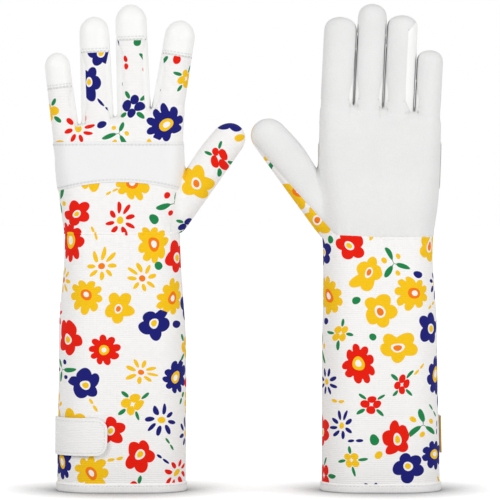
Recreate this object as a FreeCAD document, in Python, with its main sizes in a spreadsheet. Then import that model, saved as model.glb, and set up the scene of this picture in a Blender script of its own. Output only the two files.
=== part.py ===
"""A pair of long-cuffed gardening gloves, standing on the hems of their gauntlets.

Each glove is modelled in a frame of its own: +X towards the thumb, -Y the back of the hand, +Y the palm,
+Z towards the fingertips, z = 0 at the hem. Glove a stands back foremost, and glove b is turned half round,
palm foremost. Every panel is a wall of even thickness between an outer and an inner form, parted where the
real panels are sewn.
"""

import FreeCAD
import Part
import Sketcher

import math
import os

Y_AXIS = FreeCAD.Vector(0, 1, 0)
X_AXIS = FreeCAD.Vector(1, 0, 0)
Z_AXIS = FreeCAD.Vector(0, 0, 1)

doc = FreeCAD.newDocument("gardening_gloves")
sheet = doc.addObject("Spreadsheet::Sheet", "Sizes")
nodes = []

# ------------------------------------------------ driving dimensions, in millimetres and degrees

SHARED = {
    "wall": 1.6,  # leather or canvas with its seam allowance
    "reach": 200.0,  # a cutting box's side, larger than any glove's width or depth
    "seam_offset": 0.4,  # the side seams lie this far to the palm side of a glove's middle plane
    "joint_gap": 0.3,  # clearance between a digit's sleeve and the stub it hinges on
    "wrist_height": 217.5,
    "wrist_slope": 20.0,  # how steeply the rims beside the elastic fall away from the wrist's side edges
    "wrist_band": 6.0,  # the elastic's height at the side edges
    "elastic_reach": 25.0,  # the elastic lies within this height above and below the wrist
    "overrun": 1.0,  # how far a hollow or a stub runs past the face that it opens or is cut at
    "hem_height": 8.0,
    "hem_lap": 0.9,  # how far the binding stands proud of the canvas, inside and out
    "hem_base": 1.2,  # the binding's thickness under the canvas edge
    "gauntlet_belly": 130.0,  # height of the gauntlet's fullest section above its hem
    "patch_top": 294.0,
    "patch_dip": 260.5,  # height of the patch's arched lower edge at its middle
    "patch_arch": 186.0,  # radius of that arch
    "patch_rise": 0.7,  # how far the knuckle patch stands proud
    "patch_end": 51.0,  # where the patch meets the thumb's seam
    "side_half": 6.2,  # half the width of the strips between the fingers
    "side_share": 0.55,  # the strips start this share of a finger's half width from its middle
    "web_drop": 8.0,  # the webs reach this far below a finger's root
    "web_top": 5.0,  # and their cutting blocks this far above its hinge
    "root_overrun": 10.0,  # the hand's last section stands this far above its share of the height
    "digit_hinge": 12.0,  # from a finger's root up to its hinge
    "digit_root": 25.0,  # how far a finger's stub runs down inside the hand
    "thumb_root": 14.0,
    "finger_half_depth": 10.0,
    "cap_height": 31.0,  # length of a fingertip cap, down from the tip
    "thumb_hinge": 52.0,
    "thumb_half_depth": 11.5,
    "strap_low": 31.5,
    "strap_height": 31.5,
    "strap_reach": 43.0,  # from the gauntlet's side edge to the tab's end
    "strap_corner": 10.0,
    "strap_thick": 1.6,
    "strap_sewn": 7.0,  # the sewn end lies down on the canvas over this much of the gauntlet's side
    "pad_thick": 0.9,
    "pad_margin": 5.0,
}

# Per glove: where it stands and how it is turned, then half widths and half depths from hem to finger roots.
GLOVES = {
    "a": {
        "place_x": -103.5,
        "turn": 0.0,
        "hem_half_width": 54.3,
        "belly_half_width": 54.0,
        "wrist_half_width": 49.0,
        "hem_half_depth": 31.0,
        "belly_half_depth": 29.0,
        "wrist_half_depth": 23.0,
        "wrist_shift": 0.5,
        "heel_half_width": 51.0,
        "heel_shift": -0.3,
        "palm_half_width": 53.6,
        "palm_shift": -0.9,
        "knuckle_half_width": 54.6,
        "knuckle_shift": -2.0,
        "root_half_width": 57.0,
        "root_shift": -3.4,
        "web_height": 316.0,
        "web_slope": 12.5,
        "thumb_root_x": 45.2,
        "thumb_root_z": 232.0,
        "thumb_lean": 35.7,
        "thumb_length": 93.0,
        "thumb_half_width": 14.2,
    },
    "b": {
        "place_x": 115.3,
        "turn": 180.0,
        "hem_half_width": 50.2,
        "belly_half_width": 48.6,
        "wrist_half_width": 46.5,
        "hem_half_depth": 31.0,
        "belly_half_depth": 29.0,
        "wrist_half_depth": 23.0,
        "wrist_shift": 1.6,
        "heel_half_width": 49.5,
        "heel_shift": 0.8,
        "palm_half_width": 51.0,
        "palm_shift": 0.9,
        "knuckle_half_width": 51.6,
        "knuckle_shift": 1.0,
        "root_half_width": 51.2,
        "root_shift": 0.6,
        "web_height": 322.5,
        "web_slope": 6.0,
        "thumb_root_x": 45.2,
        "thumb_root_z": 232.0,
        "thumb_lean": 36.5,
        "thumb_length": 98.0,
        "thumb_half_width": 14.2,
    },
}

# Per glove and finger: the root's place on the web line, the lean towards the thumb, length and half width.
FINGER_SIZES = ("root_x", "root_z", "lean", "length", "half_width")
FINGERS = {
    "a": {
        "index": (39.1, 319.5, 9.4, 77.3, 13.6),
        "middle": (11.1, 319.5, -1.8, 89.8, 14.2),
        "ring": (-19.6, 315.0, -2.1, 84.1, 13.6),
        "little": (-46.9, 306.0, -7.0, 63.2, 11.4),
    },
    "b": {
        "index": (37.4, 323.7, -2.7, 75.3, 13.4),
        "middle": (10.6, 323.7, -2.7, 86.3, 12.7),
        "ring": (-14.9, 322.0, -2.7, 78.4, 12.2),
        "little": (-38.5, 317.0, -2.7, 54.0, 11.0),
    },
}

# Which side walls of a finger are separate strips, +1 towards the thumb and -1 towards the little finger.
STRIP_SIDES = {"index": (-1,), "middle": (-1, 1), "ring": (-1, 1), "little": (1,)}

# The hand's sections: each one's share of the way from the wrist to the web line, and its half depth.
HAND_SECTIONS = (
    ("wrist", 0.0, 23.0),
    ("heel", 0.27, 20.5),
    ("palm", 0.53, 17.0),
    ("knuckle", 0.79, 14.2),
    ("root", 1.04, 11.2),
)

# A digit narrows by this share up to its shoulder, then closes in half an ellipsoid, whose height is this
# much of the digit's half width.
TAPER = 0.07
DOME_TO_WIDTH = 1.05


def cell(name):
    return "<<Sizes>>." + name


def fill_sheet():
    """Writes every driving dimension into the sheet as a plain number under its own alias."""
    rows = dict(SHARED)
    for glove, sizes in GLOVES.items():
        rows.update({f"{glove}_{name}": value for name, value in sizes.items()})
        for finger, values in FINGERS[glove].items():
            rows.update({f"{glove}_{finger}_{n}": v for n, v in zip(FINGER_SIZES, values)})
    for row, (alias, value) in enumerate(rows.items(), start=1):
        sheet.set(f"A{row}", alias)
        sheet.set(f"B{row}", str(value))
        sheet.setAlias(f"B{row}", alias)
    doc.recompute()


# ---------------------------------------------------------------- building blocks


def add(kind, label, **expressions):
    """A document object of that kind, with the named properties bound to expressions."""
    made = doc.addObject(kind, label)
    made.Label = label
    for name, expression in expressions.items():
        made.setExpression(name.replace("__", "."), expression)
    return made


def box(label, corner, size):
    """A box from its lowest corner, each of the three numbers an expression."""
    made = add("Part::Box", label, Length=size[0], Width=size[1], Height=size[2])
    for axis, expression in zip("xyz", corner):
        made.setExpression("Placement.Base." + axis, expression)
    return made


def place(made, x, z, lean):
    """Sets a digit's piece on its root, leaning towards the thumb by turning about Y."""
    made.setExpression("Placement.Base.x", x)
    made.setExpression("Placement.Base.z", z)
    made.Placement.Rotation = FreeCAD.Rotation(Y_AXIS, 1)
    made.setExpression("Placement.Rotation.Angle", lean)
    return made


def loft(label, sections, ruled=False):
    made = doc.addObject("Part::Loft", label)
    made.Sections = sections
    made.Solid = True
    made.Ruled = ruled
    return made


def cut(label, base, tool):
    made = doc.addObject("Part::Cut", label)
    made.Base = base
    made.Tool = tool
    return made


def common(label, base, tool):
    made = doc.addObject("Part::Common", label)
    made.Base = base
    made.Tool = tool
    return made


def fuse(label, shapes):
    made = doc.addObject("Part::MultiFuse", label)
    made.Shapes = shapes
    return made


def node(glove, name, piece):
    """Names a finished piece after its node, and stands it where its glove stands."""
    piece.Label = f"glove_{glove}_{name}"
    piece.Placement.Rotation = FreeCAD.Rotation(Z_AXIS, 1)
    piece.setExpression("Placement.Base.x", cell(glove + "_place_x"))
    piece.setExpression("Placement.Rotation.Angle", cell(glove + "_turn"))
    nodes.append(piece)
    return piece


def flat_oval(label, half_width, half_depth, shift, height):
    """A sketch of a sewn tube's section: two straight sides joined by half circles, at a height."""
    sketch = doc.addObject("Sketcher::SketchObject", label)
    radius, middle = 20.0, 30.0
    ends = []
    for side, start in ((1, -math.pi / 2), (-1, math.pi / 2)):
        circle = Part.Circle(FreeCAD.Vector(side * middle, 0, 0), Z_AXIS, radius)
        ends.append(Part.ArcOfCircle(circle, start, start + math.pi))
    sides = [
        Part.LineSegment(FreeCAD.Vector(middle, radius, 0), FreeCAD.Vector(-middle, radius, 0)),
        Part.LineSegment(FreeCAD.Vector(-middle, -radius, 0), FreeCAD.Vector(middle, -radius, 0)),
    ]
    right, left, back, front = sketch.addGeometry(ends + sides, False)
    first, last, centre = 1, 2, 3
    order = (right, back, left, front)
    for line, following in zip(order, order[1:] + order[:1]):
        sketch.addConstraint(Sketcher.Constraint("Tangent", line, last, following, first))
    sketch.addConstraint(Sketcher.Constraint("Equal", right, left))
    sketch.addConstraint(Sketcher.Constraint("PointOnObject", right, centre, -1))
    sketch.addConstraint(Sketcher.Constraint("Symmetric", right, centre, left, centre, -1, 1))
    radius_rule = sketch.addConstraint(Sketcher.Constraint("Radius", right, radius))
    span = Sketcher.Constraint("DistanceX", left, centre, right, centre, 2 * middle)
    span_rule = sketch.addConstraint(span)
    sketch.renameConstraint(radius_rule, "half_depth")
    sketch.renameConstraint(span_rule, "straight")
    sketch.setExpression("Constraints.half_depth", half_depth)
    sketch.setExpression("Constraints.straight", f"2 * ({half_width} - ({half_depth}))")
    sketch.setExpression("Placement.Base.x", shift)
    sketch.setExpression("Placement.Base.z", height)
    return sketch


def ellipse(label, half_width, half_depth, height, turn=0):
    """An elliptical section whose closing point lies on +X, or on -X when turned by 180 degrees."""
    made = add("Part::Ellipse", label, MajorRadius=half_width, MinorRadius=half_depth)
    return raise_to(made, height, turn)


def raise_to(made, height, turn):
    made.Placement.Rotation = FreeCAD.Rotation(Z_AXIS, turn)
    made.setExpression("Placement.Base.z", height)
    return made


# ---------------------------------------------------------------- forms that the panels are cut from


def gauntlet_form(glove, label, grow, low=None, high=None):
    """The gauntlet's tube through its three sections, grown by a distance all round, or a slice of it."""
    g = cell(glove + "_")
    heights = {"hem": "0", "belly": cell("gauntlet_belly"), "wrist": cell("wrist_height")}
    sections = []
    for name, height in heights.items():
        half_width = f"{g}{name}_half_width + {grow}"
        half_depth = f"{g}{name}_half_depth + {grow}"
        shift = f"{g}wrist_shift" if name == "wrist" else "0"
        sections.append(flat_oval(f"{label}_{name}", half_width, half_depth, shift, height))
    form = loft(label, sections)
    if low is None:
        return form
    reach = cell("reach")
    corner = (f"-{reach} / 2", f"-{reach} / 2", low)
    slab = box(label + "_slab", corner, (reach, reach, f"{high} - ({low})"))
    return common(label + "_slice", form, slab)


def hand_form(glove, label, grow):
    """The hand's tube from the wrist up to the slanting web line between the fingers."""
    g = cell(glove + "_")
    climb = f"({g}web_height - {cell('wrist_height')})"
    sections = []
    for name, share, half_depth in HAND_SECTIONS:
        height = f"{cell('wrist_height')} + {share} * {climb}"
        if name == "root":
            height += f" + {cell('root_overrun')}"
        half_width = f"{g}{name}_half_width + {grow}"
        depth = f"{half_depth} + {grow}"
        sections.append(flat_oval(f"{label}_{name}", half_width, depth, f"{g}{name}_shift", height))
    form = loft(label, sections)
    reach = cell("reach")
    above = box(label + "_above", (f"-{reach} / 2", f"-{reach} / 2", "0"), (reach, reach, reach))
    above.Placement.Rotation = FreeCAD.Rotation(Y_AXIS, 1)
    above.setExpression("Placement.Rotation.Angle", f"-{g}web_slope")
    slope = f"{g}web_slope * 1 deg"
    above.setExpression("Placement.Base.x", f"-{reach} / 2 * cos({slope})")
    above.setExpression("Placement.Base.z", f"{g}web_height + {grow} - {reach} / 2 * sin({slope})")
    return cut(label + "_trimmed", form, above)


def digit_form(digit, label, half_width, half_depth, length, low, grow, high=None):
    """A digit's tube along +Z from low, closed by a dome at its length, or cut off square at high."""
    width = f"({half_width} + {grow})"
    depth = f"({half_depth} + {grow})"
    tip = f"({length} + {grow})"
    dome = f"({half_width} * {DOME_TO_WIDTH})"
    shoulder = f"({tip} - {dome})"
    turn = 180 if STRIP_SIDES.get(digit) == (-1,) else 0

    def section(name, height):
        narrowed = f"{width} * (1 - {TAPER} * {height} / {shoulder})"
        return ellipse(f"{label}_{name}", narrowed, depth, height, turn)

    if high is not None:
        return loft(label, [section("low", low), section("high", high)], ruled=True)
    sides = loft(label + "_tube", [section("low", low), section("shoulder", shoulder)], ruled=True)
    radii = {"Radius1": dome, "Radius2": f"{width} * (1 - {TAPER})", "Radius3": depth}
    end = raise_to(add("Part::Ellipsoid", label + "_dome", **radii), shoulder, turn)
    end.Angle1 = 0
    return fuse(label, [sides, end])


def half_space(label, side):
    """A box that holds everything on the palm side (+1) or the back (-1) of a glove's side seams."""
    reach, seam = cell("reach"), cell("seam_offset")
    corner_y = seam if side > 0 else f"{seam} - {reach}"
    return box(label, (f"-{reach} / 2", corner_y, "0"), (reach, reach, f"3 * {reach}"))


# ---------------------------------------------------------------- the gauntlet and its strap


def tilted_slab(label, height, slope, upwards):
    """A half space above or below a plane through the wrist's X line at a height, tilted about X."""
    reach = cell("reach")
    made = box(label, (f"-{reach} / 2", "0", "0"), (reach, f"2 * {reach}", reach))
    made.Placement.Rotation = FreeCAD.Rotation(X_AXIS, 1)
    angle = f"{slope} * 1 deg"
    drop = "0" if upwards else reach
    made.setExpression("Placement.Rotation.Angle", slope)
    made.setExpression("Placement.Base.y", f"-{reach} * cos({angle}) + {drop} * sin({angle})")
    made.setExpression("Placement.Base.z", f"{height} - {reach} * sin({angle}) - {drop} * cos({angle})")
    return made


def wrist_slabs(glove, name, height, upwards):
    """Half spaces on one side of a rim's two planes, which meet at the height over the middle plane."""
    slope = cell("wrist_slope")
    return [
        tilted_slab(f"{name}_{glove}_{side}", height, f"{sign} * {slope}", upwards)
        for side, sign in (("palm", 1), ("back", -1))
    ]


def build_gauntlet(glove):
    wall, lap = cell("wall"), cell("hem_lap")
    outer = gauntlet_form(glove, f"gauntlet_outer_{glove}", "0")
    inner = gauntlet_form(glove, f"gauntlet_inner_{glove}", f"(-{wall})")
    tube = cut(f"gauntlet_tube_{glove}", outer, inner)
    rim = f"{cell('wrist_height')} - {cell('wrist_band')} / 2"
    for number, slab in enumerate(wrist_slabs(glove, "gauntlet_rim", rim, True)):
        tube = cut(f"gauntlet_rimmed_{glove}_{number}", tube, slab)
    reach = cell("reach")
    corner = (f"-{reach} / 2", f"-{reach} / 2", f"-{reach}")
    hem_slab = box(f"hem_seat_{glove}", corner, (reach, reach, f"{reach} + {cell('hem_base')}"))
    tube = cut(f"gauntlet_seated_{glove}", tube, hem_slab)
    for name, side in (("gauntlet_back", -1), ("gauntlet_front", 1)):
        half = half_space(f"{name}_half_{glove}", side)
        node(glove, name, common(f"{name}_{glove}", tube, half))

    hem_outer = gauntlet_form(glove, f"hem_outer_{glove}", lap, "0", cell("hem_height"))
    hem_inner = gauntlet_form(glove, f"hem_inner_{glove}", f"(-{wall} - {lap})")
    hem_ring = cut(f"hem_ring_{glove}", hem_outer, hem_inner)
    node(glove, "hem_binding", cut(f"hem_binding_{glove}", hem_ring, tube))
    return outer


def tab_outline(label, margin, start, length):
    """A layer's outline swept along Y: square where it starts and round at its free corners."""
    block = add(
        "Part::Box",
        label + "_block",
        Length=length,
        Width=cell("reach"),
        Height=f"{cell('strap_height')} - 2 * {margin}",
        Placement__Base__x=start,
        Placement__Base__y=f"{cell('seam_offset')} - {cell('reach')}",
        Placement__Base__z=f"{cell('strap_low')} + {margin}",
    )
    doc.recompute()
    rounded = doc.addObject("Part::Fillet", label)
    rounded.Base = block
    corner = sheet.get("strap_corner") - (0 if margin == "0" else sheet.get("pad_margin"))
    free_end = block.Shape.BoundBox.XMax
    rounded.Edges = [
        (number, corner, corner)
        for number, edge in enumerate(block.Shape.Edges, start=1)
        if abs(edge.BoundBox.XMin - free_end) < 1e-6 and edge.BoundBox.YLength > 1
    ]
    return rounded


def build_strap(glove):
    """The tab that closes over the gauntlet's back, hook tape under it and loop tape on the canvas."""
    gap, pad, thick, margin = cell("joint_gap"), cell("pad_thick"), cell("strap_thick"), cell("pad_margin")
    side = f"(-{cell(glove)}_hem_half_width)"
    low, high = f"{cell('strap_low')} - 2", f"{cell('strap_low')} + {cell('strap_height')} + 2"
    levels = {
        "canvas": "0",
        "rest": gap,
        "loop": pad,
        "hook_inner": f"({pad} + {gap})",
        "hook_outer": f"(2 * {pad} + {gap})",
        "tab": f"(2 * {pad} + {gap} + {thick})",
    }
    forms = {
        name: gauntlet_form(glove, f"strap_{name}_{glove}", grow, low, high)
        for name, grow in levels.items()
    }

    def layer(name, outside, inside, margin, start):
        skin = cut(f"{name}_skin_{glove}", forms[outside], forms[inside])
        length = f"{cell('strap_reach')} - {margin} - ({start})"
        outline = tab_outline(f"{name}_outline_{glove}", margin, f"{side} + {start}", length)
        return common(f"{name}_{glove}", skin, outline)

    node(glove, "loop_pad", layer("loop_pad", "loop", "canvas", margin, f"2 * {margin}"))
    node(glove, "hook_pad", layer("hook_pad", "hook_outer", "hook_inner", margin, f"2 * {margin}"))
    tab = layer("tab", "tab", "hook_outer", "0", "-20")
    reach = cell("reach")
    sewn = cell("strap_sewn")
    sewn_corner = (f"-{reach}", f"-{sewn}", low)
    sewn_zone = box(f"sewn_zone_{glove}", sewn_corner, (reach, sewn, f"{high} - ({low})"))
    sewn_end = common(f"sewn_end_{glove}", layer("sewn", "hook_outer", "rest", "0", "-20"), sewn_zone)
    node(glove, "strap", fuse(f"strap_{glove}", [tab, sewn_end]))


def build_wrist_elastic(glove, hand_outer, hand_inner, gauntlet_outer):
    """The gathered band that bridges the gauntlet's falling rim and the hand's rising one."""
    wall, gap = cell("wall"), cell("joint_gap")
    middle, half = cell("wrist_height"), f"{cell('wrist_band')} / 2"
    gauntlet_inner = gauntlet_form(glove, f"elastic_inner_{glove}", f"(-{wall})")
    lower = cut(f"elastic_lower_{glove}", gauntlet_outer, gauntlet_inner)
    upper = cut(f"elastic_upper_{glove}", hand_outer, hand_inner)
    reach, zone = cell("reach"), cell("elastic_reach")
    level = (f"-{reach} / 2", f"-{reach} / 2", f"{middle} - {zone}")
    slice_box = box(f"elastic_level_{glove}", level, (reach, reach, f"2 * {zone}"))
    tube = common(f"elastic_tube_{glove}", fuse(f"elastic_both_{glove}", [lower, upper]), slice_box)
    below = wrist_slabs(glove, "elastic_below", f"{middle} - {half} + {gap}", False)
    above = wrist_slabs(glove, "elastic_above", f"{middle} + {half} - {gap}", True)
    band = cut(f"elastic_cut_low_{glove}", tube, common(f"elastic_below_both_{glove}", *below))
    band = cut(f"elastic_cut_high_{glove}", band, common(f"elastic_above_both_{glove}", *above))
    node(glove, "wrist_elastic", band)


# ---------------------------------------------------------------- the hand


def digit_stub(glove, digit, label, grow):
    """The part of a digit's tube that belongs to the hand: from inside the palm up to the digit's hinge."""
    g = f"{cell(glove)}_{digit}_"
    hinge = cell("thumb_hinge" if digit == "thumb" else "digit_hinge")
    root = cell("thumb_root" if digit == "thumb" else "digit_root")
    depth = cell("thumb_half_depth" if digit == "thumb" else "finger_half_depth")
    top = f"({hinge} - {cell('joint_gap')} / 2)"
    if grow != "0":
        top = f"({hinge} + {cell('overrun')})"
    stub = digit_form(digit, label, g + "half_width", depth, g + "length", f"(-{root})", grow, top)
    return place(stub, g + "root_x", g + "root_z", g + "lean")


def web_block(glove, finger, side, label):
    """The box in a finger's own frame that marks off its side wall facing a neighbour."""
    g = f"{cell(glove)}_{finger}_"
    start = f"{cell('side_share')} * {g}half_width"
    width = f"{g}half_width"
    corner_x = start if side > 0 else f"-({start} + {width})"
    corner = (corner_x, f"-{cell('side_half')}", "0")
    return box(label, corner, (width, f"2 * {cell('side_half')}", f"{g}length - {g}half_width"))


def moved_block(glove, finger, side, label, low, high):
    """The same block between two heights along the finger, leaning as the finger leans."""
    g = f"{cell(glove)}_{finger}_"
    made = web_block(glove, finger, side, label)
    made.setExpression("Height", f"{high} - ({low})")
    lean = f"{g}lean * 1 deg"
    corner = f"{cell('side_share')} * {g}half_width"
    corner_x = f"({corner})" if side > 0 else f"(-({corner} + {g}half_width))"
    made.Placement.Rotation = FreeCAD.Rotation(Y_AXIS, 1)
    made.setExpression("Placement.Rotation.Angle", g + "lean")
    made.setExpression("Placement.Base.x", f"{g}root_x + {corner_x} * cos({lean}) + ({low}) * sin({lean})")
    made.setExpression("Placement.Base.z", f"{g}root_z - {corner_x} * sin({lean}) + ({low}) * cos({lean})")
    return made


def build_hand(glove):
    wall = cell("wall")
    digits = list(FINGERS[glove]) + ["thumb"]
    outer_hand = hand_form(glove, f"hand_outer_{glove}", "0")
    inner_hand = hand_form(glove, f"hand_inner_{glove}", f"(-{wall})")
    outer_stubs = [digit_stub(glove, d, f"stub_outer_{d}_{glove}", "0") for d in digits]
    inner_stubs = [digit_stub(glove, d, f"stub_inner_{d}_{glove}", f"(-{wall})") for d in digits]
    outer = fuse(f"hand_outer_all_{glove}", [outer_hand] + outer_stubs)
    inner = fuse(f"hand_inner_all_{glove}", [inner_hand] + inner_stubs)
    shell = cut(f"hand_shell_{glove}", outer, inner)
    rim = f"{cell('wrist_height')} + {cell('wrist_band')} / 2"
    for number, slab in enumerate(wrist_slabs(glove, "hand_rim", rim, False)):
        shell = cut(f"hand_rimmed_{glove}_{number}", shell, slab)

    low, high = f"-{cell('web_drop')}", f"{cell('digit_hinge')} + {cell('web_top')}"
    blocks = [
        moved_block(glove, finger, side, f"web_block_{finger}_{side + 1}_{glove}", low, high)
        for finger, sides in STRIP_SIDES.items()
        for side in sides
    ]
    web_zone = fuse(f"web_zone_{glove}", blocks)
    node(glove, "finger_webs", common(f"finger_webs_{glove}", shell, web_zone))
    rest = cut(f"hand_without_webs_{glove}", shell, web_zone)
    node(glove, "palm", common(f"palm_{glove}", rest, half_space(f"palm_half_{glove}", 1)))
    back = common(f"hand_back_all_{glove}", rest, half_space(f"hand_back_half_{glove}", -1))

    reach = cell("reach")
    arch = add("Part::Cylinder", f"patch_arch_{glove}", Radius=cell("patch_arch"), Height=reach)
    arch.Placement.Rotation = FreeCAD.Rotation(X_AXIS, 90)
    arch.setExpression("Placement.Base.z", f"{cell('patch_dip')} - {cell('patch_arch')}")
    band = box(
        f"patch_band_{glove}",
        (f"-{reach} / 2", f"-{reach}", "0"),
        (f"{reach} / 2 + {cell('patch_end')}", reach, cell("patch_top")),
    )
    zone = cut(f"patch_zone_{glove}", band, arch)
    thick_hand = hand_form(glove, f"hand_thick_{glove}", cell("patch_rise"))
    thick = cut(f"patch_thick_{glove}", thick_hand, inner)
    node(glove, "knuckle_patch", common(f"knuckle_patch_{glove}", thick, zone))
    around = cut(f"hand_back_around_{glove}", back, zone)
    upper_band = box(
        f"upper_band_{glove}",
        (f"-{reach} / 2", f"-{reach}", cell("patch_top")),
        (reach, reach, reach),
    )
    node(glove, "finger_root_back", common(f"finger_root_back_{glove}", around, upper_band))
    node(glove, "hand_back", cut(f"hand_back_{glove}", around, upper_band))
    return outer_hand, inner_hand


# ---------------------------------------------------------------- fingers and thumb


def build_digit(glove, digit):
    """A digit's sleeve above its hinge: leather front, printed back, side strips and a tip cap."""
    g = f"{cell(glove)}_{digit}_"
    thumb = digit == "thumb"
    hinge = cell("thumb_hinge" if thumb else "digit_hinge")
    depth = cell("thumb_half_depth" if thumb else "finger_half_depth")
    wall, gap, reach = cell("wall"), cell("joint_gap"), cell("reach")
    name = f"{digit}_{glove}"
    sizes = (g + "half_width", depth, g + "length")
    outer = digit_form(digit, f"outer_{name}", *sizes, f"({hinge} + {gap} / 2)", "0")
    inner = digit_form(digit, f"inner_{name}", *sizes, f"({hinge} - {cell('overrun')})", f"(-{wall})")
    sleeve = cut(f"sleeve_{name}", outer, inner)
    pieces = {}
    if not thumb:
        blocks = [
            web_block(glove, digit, side, f"strip_block_{side + 1}_{name}")
            for side in STRIP_SIDES[digit]
        ]
        zone = fuse(f"strip_zone_{name}", blocks) if len(blocks) > 1 else blocks[0]
        pieces["side"] = common(f"side_{name}", sleeve, zone)
        sleeve = cut(f"sleeve_rest_{name}", sleeve, zone)
    pieces["front"] = common(f"front_{name}", sleeve, half_space(f"front_half_{name}", 1))
    cover = common(f"cover_{name}", sleeve, half_space(f"back_half_{name}", -1))
    if thumb:
        pieces["back"] = cover
    else:
        low = f"{g}length - {cell('cap_height')}"
        corner = (f"-{reach} / 2", f"-{reach} / 2", low)
        above = box(f"cap_block_{name}", corner, (reach, reach, reach))
        pieces["cap"] = common(f"cap_{name}", cover, above)
        pieces["back"] = cut(f"back_{name}", cover, above)
    for kind, piece in pieces.items():
        place(piece, g + "root_x", g + "root_z", g + "lean")
        stood = doc.addObject("Part::Compound", f"stood_{kind}_{name}")
        stood.Links = [piece]
        node(glove, f"{digit}_{kind}", stood)


# ---------------------------------------------------------------- build, check and write


def build():
    fill_sheet()
    for glove in GLOVES:
        gauntlet_outer = build_gauntlet(glove)
        build_strap(glove)
        hand_outer, hand_inner = build_hand(glove)
        build_wrist_elastic(glove, hand_outer, hand_inner, gauntlet_outer)
        for digit in list(FINGERS[glove]) + ["thumb"]:
            build_digit(glove, digit)
    doc.recompute()


def check():
    for made in doc.Objects:
        bad = {"Invalid", "Error"} & set(made.State)
        if bad:
            raise RuntimeError(f"{made.Label} is {sorted(bad)}")
    for piece in nodes:
        shape = piece.Shape
        if shape.isNull() or not shape.isValid() or not shape.Solids:
            raise RuntimeError(f"{piece.Label} has no valid solid")


def write():
    os.makedirs("parts", exist_ok=True)
    for piece in nodes:
        piece.Shape.exportStep(f"parts/{piece.Label}.step")


build()
check()
write()
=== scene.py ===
"""Looks for a pair of long-cuffed gardening gloves: printed cloth, leather palms and tips, tall gauntlets.

Shapes are worked out in millimetres in each glove's own frame: +X towards the thumb, -Y the back of the hand,
+Y the palm and +Z the fingertips. place() carries them to the shared frame, in metres.
"""

import math
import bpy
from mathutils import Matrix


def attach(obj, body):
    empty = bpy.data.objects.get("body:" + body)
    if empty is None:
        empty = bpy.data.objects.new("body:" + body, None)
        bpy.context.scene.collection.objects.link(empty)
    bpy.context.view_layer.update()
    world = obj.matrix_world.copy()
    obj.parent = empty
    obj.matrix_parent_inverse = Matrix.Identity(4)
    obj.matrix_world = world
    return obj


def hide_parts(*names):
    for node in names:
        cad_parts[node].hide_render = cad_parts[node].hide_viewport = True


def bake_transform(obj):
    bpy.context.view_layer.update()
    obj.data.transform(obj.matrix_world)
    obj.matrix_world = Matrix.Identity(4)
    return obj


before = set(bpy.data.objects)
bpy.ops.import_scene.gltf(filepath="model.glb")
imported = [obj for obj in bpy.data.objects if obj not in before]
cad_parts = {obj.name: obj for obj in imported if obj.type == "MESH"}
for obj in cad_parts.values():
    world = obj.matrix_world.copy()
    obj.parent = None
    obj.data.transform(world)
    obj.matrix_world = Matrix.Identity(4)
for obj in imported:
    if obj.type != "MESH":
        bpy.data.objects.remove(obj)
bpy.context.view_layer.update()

from types import SimpleNamespace

import bmesh
import bpy
import numpy as np

MM = 0.001
BACK, FRONT = -1, 1  # the back of the hand, and the palm

# ---------------------------------------------------------------- sizes, in millimetres and degrees

WRIST = 217.5
HEM = 8.0
FINGER_DEPTH, THUMB_DEPTH = 10.0, 11.5
FINGER_HINGE, THUMB_HINGE = 12.0, 52.0
FINGER_JOIN, THUMB_JOIN = 6.0, 40.0  # where a digit's panels take over from the hand's
FLARE = (60.0, 25.0)  # where the web widens the thumb's inner side, and over what length
DOME = 1.05  # a tip's height over its shoulder, for a half width of 1
CAP = 31.0  # a fingertip cap's length
STRIP_BACK, STRIP_FRONT = 7.4, 6.8  # how far the side strips reach from the middle plane to either face
STRIP_SLIM = 3.2  # their reach on the palm side above the webs
STRIP_WIDE = 9.2  # the reach of glove b's broad strip on the palm side
WEB_CLOSES = 0.18  # the share by which the webs' leather narrows between its ends
WEB_TONGUE = (1.0, 0.5)  # how much deeper it reaches at its middle, on the back and the palm side
STRIP_POINT = 16.0  # the strips narrow to a point over this length
FINGER_BLEND, THUMB_BLEND = 55.0, 130.0  # how softly a digit's squared depth runs into the hand's
KNUCKLE_ROUND = 9.0  # the hand closes over the web line within this height
PATCH_TOP, PATCH_DIP, PATCH_ARCH = 294.0, 260.5, 186.0
PATCH_RISE = 0.9
THUMB_SEAM = (5.8, 0.0966)  # the print's edge on the palm side: off the thumb's middle line, and its slope
CLOTH, LEATHER = 1.1, 1.3  # thickness of a panel
SEAM_WIDTH = 1.6  # how far a sewn edge's groove spreads
GATHER_HEIGHT, GATHER_REACH = 0.32, 7.0  # the puckers beside the wrist seam
SEAM_FOOT = 42.2  # where the thumb's seam meets the wrist on the back
WRIST_BEND, FINGER_BEND, THUMB_BEND = 24.0, 6.0, 12.0  # half the stretch round a joint, whose ends are worked out but not used
PATCH_STITCHES, CAP_STITCHES = 2.2, np.array([1.9, 4.3])  # how far rows of thread lie inside an edge
TAB_LOW, TAB_HIGH, TAB_CORNER = 31.5, 63.0, 10.0
TAB_END = 60.4  # along the girth from the side seam
TAB_STITCHES = 2.4
TAB_DOWN, TAB_UP = 1.7, 3.7  # its outer face over the canvas, where it is sewn and over its tapes

DIGIT_ORDER = ("little", "ring", "middle", "index")
STRIP_SIDES = {"index": (-1,), "middle": (-1, 1), "ring": (-1, 1), "little": (1,), "thumb": ()}


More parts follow.
